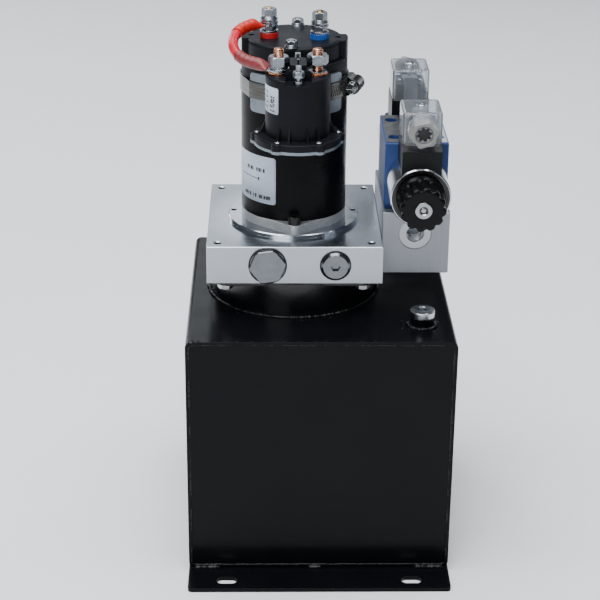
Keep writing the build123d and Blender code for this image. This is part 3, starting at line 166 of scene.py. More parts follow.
class Finish:
    """A Principled shader and the nodes that feed it. Textures use the part's own coordinates, in metres."""

    def __init__(self, name, **sockets):
        self.material = bpy.data.materials.new(name)
        self.material.use_nodes = True
        self.tree = self.material.node_tree
        self.shader = self.tree.nodes["Principled BSDF"]
        for socket, value in sockets.items():
            self.shader.inputs[socket.replace("_", " ")].default_value = value
        self.place = self.add("ShaderNodeTexCoord").outputs["Object"]
        self.normal = None

    def add(self, kind, **settings):
        node = self.tree.nodes.new(kind)
        for key, value in settings.items():
            setattr(node, key, value)
        return node

    def put(self, node, socket, value):
        """Link an output to a socket, or set the socket to a plain value."""
        if isinstance(value, bpy.types.NodeSocket):
            self.tree.links.new(value, node.inputs[socket])
        else:
            node.inputs[socket].default_value = value

    def noise(self, scale, detail=3.0, stretch=(1, 1, 1), place=None):
        mapping = self.add("ShaderNodeMapping")
        self.put(mapping, "Vector", place or self.place)
        mapping.inputs["Scale"].default_value = stretch
        texture = self.add("ShaderNodeTexNoise")
        self.put(texture, "Vector", mapping.outputs["Vector"])
        self.put(texture, "Scale", scale)
        self.put(texture, "Detail", detail)
        return texture.outputs["Fac"]

    def span(self, factor, low, high, start=0.3, end=0.7):
        """The factor from start to end, turned into low to high."""
        node = self.add("ShaderNodeMapRange")
        for socket, value in (("Value", factor), ("From Min", start), ("From Max", end),
                              ("To Min", low), ("To Max", high)):
            self.put(node, socket, value)
        return node.outputs["Result"]

    def math(self, operation, first, second=0.0):
        node = self.add("ShaderNodeMath", operation=operation)
        self.put(node, 0, first)
        self.put(node, 1, second)
        return node.outputs[0]

    def mix(self, factor, first, second):
        node = self.add("ShaderNodeMix", data_type="RGBA")
        self.put(node, 0, factor)
        for socket, value in ((6, first), (7, second)):
            self.put(node, socket, (*value, 1.0) if isinstance(value, tuple) else value)
        return node.outputs[2]

    def axis(self, letter, place=None):
        """One of the part's coordinates, in metres."""
        node = self.add("ShaderNodeSeparateXYZ")
        self.put(node, 0, place or self.place)
        return node.outputs[letter]

    def above(self, value, limit, soft=0.0002):
        return self.span(value, 0.0, 1.0, limit - soft, limit + soft)

    def radius_from(self, centre, across=(1, 1, 0)):
        """Distance from an axis through the centre: upright, or along Y if across is ALONG_Y."""
        node = self.add("ShaderNodeVectorMath", operation="SUBTRACT")
        self.put(node, 0, self.place)
        node.inputs[1].default_value = centre
        flat = self.add("ShaderNodeVectorMath", operation="MULTIPLY")
        self.put(flat, 0, node.outputs[0])
        flat.inputs[1].default_value = across
        length = self.add("ShaderNodeVectorMath", operation="LENGTH")
        self.put(length, 0, flat.outputs[0])
        return length.outputs["Value"]

    def round_edges(self, radius):
        bevel = self.add("ShaderNodeBevel", samples=4)
        bevel.inputs["Radius"].default_value = radius
        self.normal = bevel.outputs["Normal"]
        geometry = self.add("ShaderNodeNewGeometry")
        dot = self.add("ShaderNodeVectorMath", operation="DOT_PRODUCT")
        self.put(dot, 0, self.normal)
        self.put(dot, 1, geometry.outputs["Normal"])
        return self.span(dot.outputs["Value"], 1.0, 0.0, 0.80, 0.985)

    def bump(self, height, strength, distance):
        node = self.add("ShaderNodeBump")
        self.put(node, "Strength", strength)
        self.put(node, "Distance", distance)
        self.put(node, "Height", height)
        if self.normal is not None:
            self.put(node, "Normal", self.normal)
        self.normal = node.outputs["Normal"]

    def done(self, colour, roughness):
        self.put(self.shader, "Base Color", colour)
        self.put(self.shader, "Roughness", roughness)
        if self.normal is not None:
            self.put(self.shader, "Normal", self.normal)
        return self.material


def shade(colour, factor):
    return tuple(min(1.0, c * factor) for c in colour)


def floor_finish():
    f = Finish("floor_white")
    tint = f.mix(f.noise(3.0), (0.86, 0.87, 0.88), (0.90, 0.90, 0.91))
    return f.done(tint, f.span(f.noise(40.0), 0.7, 0.85))


def tank_paint(name, gloss):
    """Gloss black enamel over welded sheet, with orange peel and a few dust specks."""
    f = Finish(name, Specular_IOR_Level=gloss)
    edge = f.round_edges(0.8 * MM)
    colour = f.mix(f.noise(18.0), (0.0024, 0.0026, 0.0034), (0.0042, 0.0046, 0.0058))
    # Rounded edges lightened in noisy patches: a painted highlight along the edges.
    edge_highlight_patches = f.math("MULTIPLY", edge, f.span(f.noise(260.0, 4.0), 0.0, 0.35, 0.45, 0.75))
    colour = f.mix(edge_highlight_patches, colour, (0.06, 0.065, 0.075))
    dust = f.span(f.noise(1900.0, 1.0), 0.0, 0.10, 0.70, 0.80)
    colour = f.mix(dust, colour, (0.25, 0.26, 0.28))
    f.bump(f.noise(420.0, 2.0), 0.10, 0.15 * MM)
    f.bump(f.noise(28.0, 2.0), 0.10, 0.9 * MM)
    return f.done(colour, f.span(f.noise(60.0), 0.16, 0.27))


def motor_paint():
    """Smooth satin black on the drawn motor tube."""
    f = Finish("motor_paint", Specular_IOR_Level=0.08)
    colour = f.mix(f.noise(25.0), (0.0022, 0.0023, 0.0028), (0.0040, 0.0041, 0.0048))
    f.bump(f.noise(900.0, 2.0), 0.06, 0.06 * MM)
    return f.done(colour, f.span(f.noise(70.0, 3.0), 0.24, 0.34))


def valve_block():
    """Milled aluminium with upright tool lines, a bright spotface round each port and a bright bore."""
    f = Finish("valve_block_aluminium", Metallic=0.9)
    edge = f.round_edges(0.35 * MM)
    base = (0.30, 0.315, 0.345)
    lines = f.noise(1500.0, 2.0, UPRIGHT_LINES)
    stain = f.noise(22.0, 3.0)
    radius = f.radius_from((VALVE_X, 0, PORT_Z), ALONG_Y)
    tone = f.mix(f.span(stain, 0.0, 1.0), shade(base, 0.90), base)
    tone = f.mix(f.span(lines, 0.0, 0.5), tone, shade(base, 0.84))
    specks = f.span(f.noise(1400.0, 1.0), 0.0, 0.6, 0.68, 0.76)
    tone = f.mix(specks, tone, shade(base, 1.25))
    # Rounded edges painted lighter: a painted highlight.
    tone = f.mix(f.math("MULTIPLY", edge, 0.6), tone, shade(base, 1.3))
    tone = f.mix(f.span(radius, 1.0, 0.0, SPOTFACE_R, SPOTFACE_R + 0.1 * MM), tone, (0.46, 0.48, 0.51))
    tone = f.mix(f.span(radius, 1.0, 0.0, PORT_R, PORT_R + 0.1 * MM), tone, (0.82, 0.84, 0.87))
    f.bump(lines, 0.16, 0.05 * MM)
    f.bump(f.noise(2600.0, 1.0), 0.10, 0.03 * MM)
    rough = f.math("ADD", f.span(lines, 0.37, 0.48), f.span(stain, -0.03, 0.03))
    return f.done(tone, rough)


def cut_thread_painted_reflection():
    """Bright cut aluminium inside a tapped hole, only partly metallic so the pale base lights up diffusely:
    a painted reflection.
    """
    # Only partly metallic, so the pale base lights up diffusely: a painted reflection.
    f = Finish("cut_thread_painted_reflection", Metallic=0.6)
    cloud = f.noise(400.0, 2.0)
    f.bump(f.noise(1600.0, 2.0), 0.10, 0.03 * MM)
    return f.done(f.mix(f.span(cloud, 0.0, 1.0), (0.74, 0.77, 0.81), (0.92, 0.94, 0.97)),
                  f.span(cloud, 0.22, 0.34))


def block_top():
    """Milled aluminium with the swirl of a fly cutter on its top face, round the motor's axis."""
    f = Finish("block_aluminium", Metallic=1.0)
    edge = f.round_edges(0.35 * MM)
    radius = f.radius_from(tuple(MOTOR))
    swirl = f.math("SINE", f.math("MULTIPLY", radius, 5200.0))
    lines = f.noise(1500.0, 2.0, UPRIGHT_LINES)
    facing = f.add("ShaderNodeNewGeometry")
    up = f.above(f.axis("Z", facing.outputs["Normal"]), 0.7, 0.1)
    near = f.math("MULTIPLY", up, f.span(radius, 1.0, 0.0, DISC_R, DISC_R + 24 * MM))
    base = (0.50, 0.535, 0.59)
    stain = f.noise(22.0, 3.0)
    tone = f.mix(f.span(stain, 0.0, 1.0), shade(base, 0.88), base)
    tone = f.mix(up, shade(base, 0.92), tone)
    tone = f.mix(f.math("MULTIPLY", near, f.span(swirl, 0.0, 0.35, -1, 1)), tone, shade(base, 1.3))
    specks = f.span(f.noise(1400.0, 1.0), 0.0, 0.6, 0.68, 0.76)
    tone = f.mix(specks, tone, shade(base, 1.3))
    # Rounded edges painted lighter: a painted highlight.
    tone = f.mix(f.math("MULTIPLY", edge, 0.6), tone, shade(base, 1.25))
    f.bump(f.math("MULTIPLY", swirl, near), 0.20, 0.03 * MM)
    f.bump(lines, 0.12, 0.04 * MM)
    rough = f.math("SUBTRACT", f.span(lines, 0.34, 0.42), f.math("MULTIPLY", near, 0.16))
    rough = f.math("SUBTRACT", rough, f.math("MULTIPLY", up, 0.06))
    return f.done(tone, rough)


def turned_aluminium():
    """Bright turned disc with concentric tool marks."""
    f = Finish("turned_aluminium", Metallic=1.0)
    radius = f.radius_from(tuple(MOTOR))
    rings = f.add("ShaderNodeTexNoise", noise_dimensions="1D")
    f.put(rings, "W", f.math("MULTIPLY", radius, 2600.0))
    f.put(rings, "Scale", 1.0)
    f.round_edges(0.3 * MM)
    f.bump(rings.outputs["Fac"], 0.22, 0.04 * MM)
    tone = f.mix(f.span(rings.outputs["Fac"], 0.0, 1.0), (0.46, 0.50, 0.55), (0.66, 0.69, 0.73))
    return f.done(tone, f.span(f.noise(90.0), 0.12, 0.22))


def cast_aluminium():
    f = Finish("cast_aluminium", Metallic=0.85)
    edge = f.round_edges(0.6 * MM)
    grain = f.noise(950.0, 4.0)
    tone = f.mix(f.span(grain, 0.0, 1.0), (0.40, 0.41, 0.425), (0.60, 0.61, 0.63))
    # Rounded edges painted paler: a painted highlight.
    tone = f.mix(f.math("MULTIPLY", edge, 0.5), tone, (0.8, 0.81, 0.82))
    f.bump(grain, 0.25, 0.10 * MM)
    return f.done(tone, f.span(f.noise(300.0), 0.42, 0.60))


def metal(name, colour, rough, bump=0.12, scale=900.0, stretch=(1, 1, 1)):
    """Plated or bare metal with cloudy tone, fine grain and brighter edges, a painted highlight."""
    f = Finish(name, Metallic=1.0)
    edge = f.round_edges(0.25 * MM)
    cloud = f.noise(140.0, 3.0)
    grain = f.noise(scale, 3.0, stretch)
    tone = f.mix(f.span(cloud, 0.0, 1.0), shade(colour, 0.80), shade(colour, 1.06))
    # Rounded edges painted lighter: a painted highlight.
    tone = f.mix(f.math("MULTIPLY", edge, 0.7), tone, shade(colour, 1.3))
    f.bump(grain, bump, 0.05 * MM)
    roughness = f.math("ADD", f.span(cloud, rough - 0.06, rough + 0.06), f.span(grain, -0.03, 0.03))
    return f.done(tone, roughness)


def nut_zinc():
    """Zinc plate on the nuts and washers, with the copper contact washers at the relay's studs."""
    f = Finish("nut_zinc", Metallic=1.0)
    edge = f.round_edges(0.25 * MM)
    cloud = f.noise(160.0, 3.0)
    tone = f.mix(f.span(cloud, 0.0, 1.0), (0.17, 0.19, 0.22), (0.34, 0.37, 0.41))
    # Rounded edges painted almost white: a painted highlight.
    tone = f.mix(f.math("MULTIPLY", edge, 0.8), tone, (0.97, 0.98, 1.0))
    low = f.span(f.axis("Z"), 1.0, 0.0, COPPER_TOP - 0.05 * MM, COPPER_TOP + 0.05 * MM)
    sideways = f.math("ABSOLUTE", f.math("SUBTRACT", f.axis("X"), RELAY.x))
    wide = f.above(sideways, 6.0 * MM)
    front = f.span(f.axis("Y"), 1.0, 0.0, -0.040, -0.038)
    copper = f.math("MULTIPLY", f.math("MULTIPLY", low, wide), front)
    tone = f.mix(copper, tone, (0.80, 0.36, 0.20))
    f.bump(f.noise(1100.0, 3.0), 0.12, 0.04 * MM)
    return f.done(tone, f.span(cloud, 0.22, 0.34))


def stud_metal():
    """Copper on the relay's studs, brass on the motor's."""
    f = Finish("stud_metal", Metallic=1.0)
    cloud = f.noise(300.0, 3.0)
    copper = f.mix(f.span(cloud, 0.0, 1.0), (0.62, 0.26, 0.15), (0.93, 0.52, 0.36))
    brass = f.mix(f.span(cloud, 0.0, 1.0), (0.50, 0.36, 0.13), (0.80, 0.64, 0.30))
    tone = f.mix(f.above(f.axis("Y"), -0.035, 0.001), copper, brass)
    f.bump(f.noise(1500.0, 2.0), 0.12, 0.03 * MM)
    return f.done(tone, f.span(cloud, 0.16, 0.30))


def band_steel():
    """Stainless strip, ground along its length."""
    f = Finish("band_steel", Metallic=1.0)
    f.round_edges(0.2 * MM)
    lines = f.noise(1300.0, 2.0, (0.03, 0.03, 1))
    cloud = f.noise(45.0, 2.0)
    tone = f.mix(f.span(lines, 0.0, 1.0), (0.085, 0.085, 0.082), (0.17, 0.17, 0.165))
    tone = f.mix(f.span(cloud, 0.0, 0.6), tone, (0.07, 0.068, 0.060))
    f.bump(lines, 0.15, 0.04 * MM)
    return f.done(tone, f.span(cloud, 0.17, 0.30))


def moulded(name, colour, rough, grain=0.18, scale=1500.0, **sockets):
    """Moulded plastic: fine grain, soft sheen changes, and edges painted slightly paler as a highlight."""
    f = Finish(name, **sockets)
    edge = f.round_edges(0.4 * MM)
    cloud = f.noise(60.0, 3.0)
    tone = f.mix(f.span(cloud, 0.0, 1.0), shade(colour, 0.82), shade(colour, 1.15))
    # Rounded edges painted paler: a painted highlight.
    tone = f.mix(f.math("MULTIPLY", edge, 0.35), tone, tuple(min(1, 1.5 * c + 0.01) for c in colour))
    f.bump(f.noise(scale, 2.0), grain, 0.05 * MM)
    return f.done(tone, f.span(cloud, rough - 0.05, rough + 0.06))


def insulator_plastic():
    """Red bush on the left stud and blue on the right."""
    f = Finish("terminal_insulation")
    f.round_edges(0.4 * MM)
    cloud = f.noise(200.0)
    red = f.mix(f.span(cloud, 0.0, 1.0), (0.42, 0.010, 0.014), (0.60, 0.020, 0.026))
    blue = f.mix(f.span(cloud, 0.0, 1.0), (0.010, 0.08, 0.36), (0.020, 0.12, 0.48))
    tone = f.mix(f.above(f.axis("X"), MOTOR.x, 0.001), red, blue)
    f.bump(f.noise(1300.0), 0.08, 0.04 * MM)
    return f.done(tone, f.span(cloud, 0.28, 0.38))


def valve_enamel():
    """Deep blue enamel, with painted shade darkening the recessed band along the bottom."""
    f = Finish("valve_blue", Specular_IOR_Level=0.2)
    edge = f.round_edges(0.5 * MM)
    cloud = f.noise(40.0, 3.0)
    tone = f.mix(f.span(cloud, 0.0, 1.0), (0.020, 0.044, 0.145), (0.030, 0.062, 0.205))
    # Painted shade: the recessed band along the bottom is darkened.
    foot_shade = f.span(f.axis("Z"), 1.0, 0.0, VALVE_LOW.z + 3.4 * MM, VALVE_LOW.z + 3.7 * MM)
    tone = f.mix(f.math("MULTIPLY", foot_shade, 0.75), tone, (0.004, 0.016, 0.06))
    # Rounded edges painted a lighter blue: a painted highlight.
    tone = f.mix(f.math("MULTIPLY", edge, 0.35), tone, (0.05, 0.14, 0.42))
    f.bump(f.noise(520.0, 2.0), 0.15, 0.10 * MM)
    return f.done(tone, f.span(cloud, 0.50, 0.60))


def nameplate_print():
    """Printed foil: a grey column, a black column and a pale column."""
    f = Finish("nameplate", Metallic=0.5)
    f.round_edges(0.2 * MM)
    x = f.axis("X")
    black_from = f.above(x, VALVE_X - 10.0 * MM, 0.1 * MM)
    pale_from = f.above(x, VALVE_X + 6.0 * MM, 0.1 * MM)
    tone = f.mix(black_from, (0.060, 0.062, 0.068), (0.010, 0.011, 0.013))
    tone = f.mix(pale_from, tone, (0.62, 0.66, 0.70))
    tone = f.mix(f.span(f.noise(200.0), 0.0, 0.12), tone, (0.5, 0.5, 0.5))
    f.bump(f.noise(900.0), 0.08, 0.03 * MM)
    return f.done(tone, f.span(f.noise(120.0), 0.30, 0.44))


def coil_finish():
    """Plated shell outside, black moulding on the end face inside the rim."""
    f = Finish("coil_shell_and_face")
    f.round_edges(0.3 * MM)
    cloud = f.noise(30.0, 2.0)
    lines = f.noise(1400.0, 2.0, (1, 0.03, 1))
    steel = f.above(f.radius_from((VALVE_X, 0, COIL_Z), ALONG_Y), COIL_RIM_R, 0.01 * MM)
    tone = f.mix(f.span(cloud, 0.0, 1.0), (0.52, 0.54, 0.57), (0.70, 0.72, 0.75))
    tone = f.mix(steel, (0.006, 0.006, 0.007), tone)
    f.put(f.shader, "Metallic", steel)
    f.bump(f.noise(55.0, 1.0), 0.12, 0.6 * MM)
    f.bump(lines, 0.06, 0.03 * MM)
    return f.done(tone, f.span(cloud, 0.13, 0.22))


def clear_plastic():
    """Clear cap with a slight haze; its rounded edges are made less clear and so paler, a painted highlight.
    """
    f = Finish("clear_plastic", IOR=1.40)
    edge = f.round_edges(1.1 * MM)
    cloud = f.noise(90.0, 2.0)
    f.bump(cloud, 0.08, 0.4 * MM)
    tone = f.mix(f.span(cloud, 0.0, 1.0), (0.80, 0.84, 0.90), (0.88, 0.91, 0.95))
    # Less transmission on the rounded edges, so they show the pale base: a painted highlight.
    f.put(f.shader, "Transmission Weight", f.math("SUBTRACT", 0.93, f.math("MULTIPLY", edge, 0.55)))
    return f.done(tone, f.span(cloud, 0.02, 0.06))


def cable_sheath():
    """Glossy red silicone, faintly ribbed by the strands under it."""
    f = Finish("cable_red", Specular_IOR_Level=0.6)
    cloud = f.noise(120.0, 2.0)
    tone = f.mix(f.span(cloud, 0.0, 1.0), (0.46, 0.008, 0.022), (0.62, 0.014, 0.036))
    f.bump(f.noise(260.0, 2.0), 0.18, 0.12 * MM)
    return f.done(tone, f.span(cloud, 0.20, 0.32))


def sleeve_rubber():
    """Shrunk sleeves: the motor's brighter, the relay's duller."""
    f = Finish("sleeve_red")
    cloud = f.noise(240.0, 3.0)
    bright = f.mix(f.span(cloud, 0.0, 1.0), (0.44, 0.011, 0.006), (0.58, 0.018, 0.009))
    dull = f.mix(f.span(cloud, 0.0, 1.0), (0.17, 0.020, 0.021), (0.24, 0.034, 0.036))
    tone = f.mix(f.span(f.axis("Y"), 0.0, 1.0, -0.032, -0.028), dull, bright)
    f.bump(f.noise(520.0, 3.0), 0.25, 0.12 * MM)
    return f.done(tone, f.span(cloud, 0.34, 0.50))


def label_paper():
    f = Finish("label_paper")
    cloud = f.noise(80.0)
    tone = f.mix(f.span(cloud, 0.0, 1.0), (0.44, 0.50, 0.60), (0.52, 0.58, 0.68))
    f.bump(f.noise(1200.0), 0.05, 0.03 * MM)
    return f.done(tone, f.span(cloud, 0.34, 0.46))


def carrier_plastic():
    """Grey terminal carrier: a pale tower between two flanks painted darker as the shade of their recess."""
    f = Finish("carrier_plastic")
    cloud = f.noise(60.0, 3.0)
    aside = f.math("ABSOLUTE", f.math("SUBTRACT", f.axis("X"), VALVE_X))
    tower = f.mix(f.span(cloud, 0.0, 1.0), (0.20, 0.21, 0.225), (0.26, 0.27, 0.285))
    # Flanks painted dark: painted shade in their recess beside the tower.
    flank_shade = f.mix(f.span(cloud, 0.0, 1.0), (0.045, 0.047, 0.052), (0.070, 0.072, 0.078))
    f.bump(f.noise(1500.0, 2.0), 0.15, 0.05 * MM)
    return f.done(f.mix(f.above(aside, 5.3 * MM, 0.1 * MM), tower, flank_shade), f.span(cloud, 0.38, 0.50))


def make_finishes():
    return {
        "tank_paint": tank_paint("tank_paint", 0.10),
        "neck_paint": tank_paint("neck_paint", 0.50),
        "weld_paint": tank_paint("weld_paint", 0.26),
        "plug_zinc": metal("plug_zinc", (0.17, 0.18, 0.195), 0.20),
        # Near-black metal for the corner holes' threads: painted shade inside the blind holes.
        "painted_shade_thread": metal("painted_shade_thread", (0.07, 0.073, 0.078), 0.45),
        "valve_block_aluminium": valve_block(),
        "cut_thread_painted_reflection": cut_thread_painted_reflection(),
        "block_aluminium": block_top(),
        "turned_aluminium": turned_aluminium(),
        "cast_aluminium": cast_aluminium(),
        "zinc_plated_steel": metal("zinc_plate", (0.56, 0.59, 0.62), 0.24),
        "nut_zinc": nut_zinc(),
        "bracket_zinc": metal("bracket_zinc", (0.26, 0.30, 0.34), 0.40, 0.10, 700.0, (1, 1, 0.1)),
        "steel": metal("ground_steel", (0.36, 0.37, 0.385), 0.22),
        "black_oxide_steel": moulded("black_oxide", (0.012, 0.012, 0.013), 0.34, 0.15, 1200.0,
                                     Metallic=0.4),
        "motor_paint": motor_paint(),
        "black_plastic": moulded("black_plastic", (0.0050, 0.0060, 0.0090), 0.44, 0.22,
                                 Specular_IOR_Level=0.13),
        "connector_black": moulded("connector_black", (0.0040, 0.0042, 0.0050), 0.36, 0.12,
                                   Specular_IOR_Level=0.2),
        "knob_plastic": moulded("knob_plastic", (0.0040, 0.0040, 0.0046), 0.20, 0.05,
                                Specular_IOR_Level=0.12),
        "clear_plastic": clear_plastic(),
        "grey_plastic": moulded("grey_plastic", (0.20, 0.21, 0.225), 0.44),
        "pale_grey_plastic": moulded("pale_grey_plastic", (0.23, 0.235, 0.225), 0.40, 0.10,
                                     Subsurface_Weight=0.15, Subsurface_Scale=0.002),
        "carrier_plastic": carrier_plastic(),
        "terminal_insulation": insulator_plastic(),
        "valve_blue": valve_enamel(),
        "nameplate": nameplate_print(),
        "coil_steel": coil_finish(),
        "stud_metal": stud_metal(),
        "iron": metal("laminated_iron", (0.20, 0.20, 0.21), 0.55, 0.25, 600.0, (1, 1, 30)),
        "carbon": moulded("carbon", (0.03, 0.03, 0.032), 0.60, 0.3),
        "rubber": moulded("black_rubber", (0.008, 0.008, 0.009), 0.50, 0.2),
        "spring_steel": metal("spring_wire", (0.42, 0.43, 0.45), 0.30),
        "stainless_steel": band_steel(),
        "cable_red": cable_sheath(),
        "sleeve_red": sleeve_rubber(),
        "label": label_paper(),
        "ink": moulded("ink", (0.03, 0.03, 0.035), 0.45, 0.05),
        "slot_shadow": moulded("slot_shadow", (0.006, 0.006, 0.006), 0.6, 0.1),
    }


SPECIAL = {
    "tank_neck": "neck_paint",
    "check_plug": "plug_zinc",
    "relief_plug": "plug_zinc",
    "valve_manifold": "valve_block_aluminium",
    "main_manifold": "block_aluminium",
    "terminal_nuts": "nut_zinc",
    "contactor_bracket": "bracket_zinc",
    "connector_bases": "connector_black",
    "terminal_blocks": "carrier_plastic",
}


def paint_cad_nodes(finishes):
    for part in frame["record"]["subparts"]:
        node = frame["nodes"][part["node"]]
        node.data.materials.clear()
        node.data.materials.append(finishes[SPECIAL.get(part["node"], part["material_slot"])])


# ---------------------------------------------------------------- mesh helpers

def finish_mesh(name, bm, body, finish, sharp=32):
    """Turn a bmesh into a piece that rides on a body."""
    mesh = bpy.data.meshes.new(name)
    bmesh.ops.recalc_face_normals(bm, faces=bm.faces)
    bm.to_mesh(mesh)
    bm.free()
    mesh.shade_smooth()
    mesh.set_sharp_from_angle(angle=math.radians(sharp))
    mesh.materials.append(finish)
    piece = bpy.data.objects.new(name, mesh)
    bpy.context.scene.collection.objects.link(piece)
    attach(piece, body)
    return piece


def bridge(bm, rows, closed_rows, closed_ring=True):
    """Quads between neighbouring rows of vertices."""
    pairs = list(zip(rows, rows[1:]))
    if closed_rows:
        pairs.append((rows[-1], rows[0]))
    for first, second in pairs:
        count = len(first)
        for k in range(count if closed_ring else count - 1):
            after = (k + 1) % count
            bm.faces.new((first[k], first[after], second[after], second[k]))


def revolve(bm, place, rings, segments, shape=None, closed=True):
    """Turn rings of (height, radius, depth) round local Z, each less shape(angle) times its depth."""
    rows = []
    for height, radius, depth in rings:
        row = []
        for step in range(segments):
            angle = 2 * math.pi * step / segments
            r = radius - (depth * shape(angle) if depth else 0.0)
            point = Vector((r * math.cos(angle), r * math.sin(angle), height)) * MM
            row.append(bm.verts.new(place @ point))
        rows.append(row)
    bridge(bm, rows, closed)
    if not closed:
        bm.faces.new(rows[0])
        bm.faces.new(rows[-1])


def circle_points(centre, radius, count):
    return [
        centre + Vector((math.cos(a), math.sin(a), 0)) * radius
        for a in (2 * math.pi * k / count for k in range(count))
    ]


def line_points(start, end, step):
    count = max(3, round((end - start).length / step))
    return [start.lerp(end, k / count) for k in range(count + 1)]


def rounded_outline(low, high, corner, y, step):
    """Points round an upright rectangle with rounded corners, in the plane at y."""
    points = []
    spots = ((high.x - corner, high.z - corner, 0), (low.x + corner, high.z - corner, 90),
             (low.x + corner, low.z + corner, 180), (high.x - corner, low.z + corner, 270))
    for index, (x, z, start) in enumerate(spots):
        for turn in range(0, 91, 15):
            angle = math.radians(start + turn)
            points.append(Vector((x + corner * math.cos(angle), y, z + corner * math.sin(angle))))
        x_next, z_next, start_next = spots[(index + 1) % 4]
        angle = math.radians(start_next)
        target = Vector((x_next + corner * math.cos(angle), y, z_next + corner * math.sin(angle)))
        points += line_points(points[-1], target, step)[1:-1]
    return points


def weld(bm, points, out, width, height, closed, seed, rough=0.25, patchy=0.0):
    """A rippled bead along the points; out is the way it stands proud."""
    out = Vector(out)
    rows = []
    count = len(points)
    for k, point in enumerate(points):
        before = points[k - 1] if closed or k else point
        after = points[(k + 1) % count] if closed or k < count - 1 else point
        side = (after - before).normalized().cross(out).normalized()
        swell = 1 + rough * noise.noise(point * 700 + Vector((seed, 0, 0)))
        swell += 0.10 * math.sin(2.1 * k)
        swell -= patchy * max(0.0, noise.noise(point * 120 + Vector((0, seed, 0))) + 0.1)
        if not closed:
            swell *= min(1.0, (min(k, count - 1 - k) + 0.15) / 4) ** 0.5
        swell = max(0.05, swell)
        row = []
        for step in range(10):
            angle = 2 * math.pi * step / 10
            offset = side * (width * math.cos(angle)) + out * (height * math.sin(angle))
            row.append(bm.verts.new(point + offset * swell))
        rows.append(row)
    bridge(bm, rows, closed)
    if not closed:
        bm.faces.new(rows[0])
        bm.faces.new(rows[-1])


def blob(bm, place, radius, height, seed):
    """A flattened drop of spatter."""
    made = bmesh.ops.create_icosphere(bm, subdivisions=2, radius=1.0)
    for vert in made["verts"]:
        lump = 1 + 0.25 * noise.noise(vert.co * 1.7 + Vector((seed, seed, 0)))
        vert.co = place + Vector((vert.co.x * radius, vert.co.y * radius, vert.co.z * height)) * lump


def wrapped_patch(bm, centre, radius, start, end, low, high, corner=0.0, columns=24):
    """A patch on an upright cylinder between two angles in degrees, with rounded corners."""
    length = radius * math.radians(end - start)
    stations = [(0.0, 0.0), (length, 0.0)]
    if corner:
        quarter = [math.radians(18 * k) for k in range(6)]
        curve = [(corner * (1 - math.cos(a)), corner * (1 - math.sin(a))) for a in quarter]
        stations = curve + [(length - d, inset) for d, inset in reversed(curve)]
    first = len(stations) // 2
    d0, d1 = stations[first - 1][0], stations[first][0]
    inner = [(d0 + (d1 - d0) * k / columns, 0.0) for k in range(1, columns)]
    rows = []
    for distance, inset in stations[:first] + inner + stations[first:]:
        angle = math.radians(start) + distance / radius
        x = centre.x + radius * math.cos(angle)
        y = centre.y + radius * math.sin(angle)
        rows.append([bm.verts.new((x, y, low + inset)), bm.verts.new((x, y, high - inset))])
    bridge(bm, rows, False, closed_ring=False)


def thicken(piece, thickness):
    solid = piece.modifiers.new("thickness", "SOLIDIFY")
    solid.thickness = thickness
    solid.offset = 0.0


def thread(bm, place, radius, depth, pitch, low, high, inward=False):
    """A screw thread as one helical surface, all in millimetres; inward cuts it into a bore's wall."""
    segments = 28
    steps = max(2, round((high - low) / pitch * 4))
    rows = []
    for level in range(steps + 1):
        height = low + (high - low) * level / steps
        fade = min(1.0, level / 3, (steps - level) / 3)
        row = []
        for step in range(segments):
            angle = 2 * math.pi * step / segments
            phase = (height / pitch - step / segments) % 1.0
            ridge = abs(2 * phase - 1) * depth
            r = radius - ridge if inward else radius - depth + ridge * fade
            point = Vector((r * math.cos(angle), r * math.sin(angle), height)) * MM
            row.append(bm.verts.new(place @ point))
        rows.append(row)
    bridge(bm, rows, False)
    if not inward:
        bm.faces.new(rows[0])
        bm.faces.new(rows[-1])


def slab(bm, place, low, high):
    """A thin box between two corners, given in millimetres in the frame of place."""
    rows = []
    for y in (low[1], high[1]):
        ring = ((low[0], low[2]), (high[0], low[2]), (high[0], high[2]), (low[0], high[2]))
        rows.append([bm.verts.new(place @ (Vector((x, y, z)) * MM)) for x, z in ring])
    bridge(bm, rows, False)
    bm.faces.new(rows[0])
    bm.faces.new(rows[-1])


# ---------------------------------------------------------------- cable

CABLE_R = 3.6 * MM
CABLE_ROUTE = [
    (-50.0, -6.0, 397.0),
    (-56.1, -10.6, 396.1),
    (-60.4, -16.8, 394.2),
    (-62.9, -24.0, 391.8),
    (-63.3, -31.8, 389.0),
    (-61.5, -39.3, 386.4),
    (-57.6, -46.0, 384.0),
    (-51.8, -51.3, 382.3),
    (-44.7, -54.7, 381.7),
]
MOTOR_STUD_R, RELAY_STUD_R = 3.0, 3.75
MOTOR_STUD = Vector((-37.72, 1.70, 395.9)) * MM
RELAY_STUD = Vector((-31.1, -61.0, 379.4)) * MM
MOTOR_LUG_HEADING = 212
RELAY_LUG_HEADING = 155
SLEEVE_TO_STUD = 7.4 * MM


def route_curve(name, points, bevel):
    """A smooth line with the route as its control points."""
    data = bpy.data.curves.new(name, "CURVE")
    data.dimensions = "3D"
    spline = data.splines.new("NURBS")
    spline.points.add(len(points) - 1)
    for point, (x, y, z) in zip(spline.points, points):
        point.co = (x * MM, y * MM, z * MM, 1.0)
    spline.order_u = 3
    spline.use_endpoint_u = True
    spline.resolution_u = 12
    data.bevel_depth = bevel
    data.bevel_resolution = 8
    thing = bpy.data.objects.new(name, data)
    bpy.context.scene.collection.objects.link(thing)
    return thing


def line_of(curve):
    """The points of a curve's own line."""
    mesh = bpy.data.meshes.new_from_object(curve)
    points = [vert.co.copy() for vert in mesh.vertices]
    bpy.data.meshes.remove(mesh)
    return points


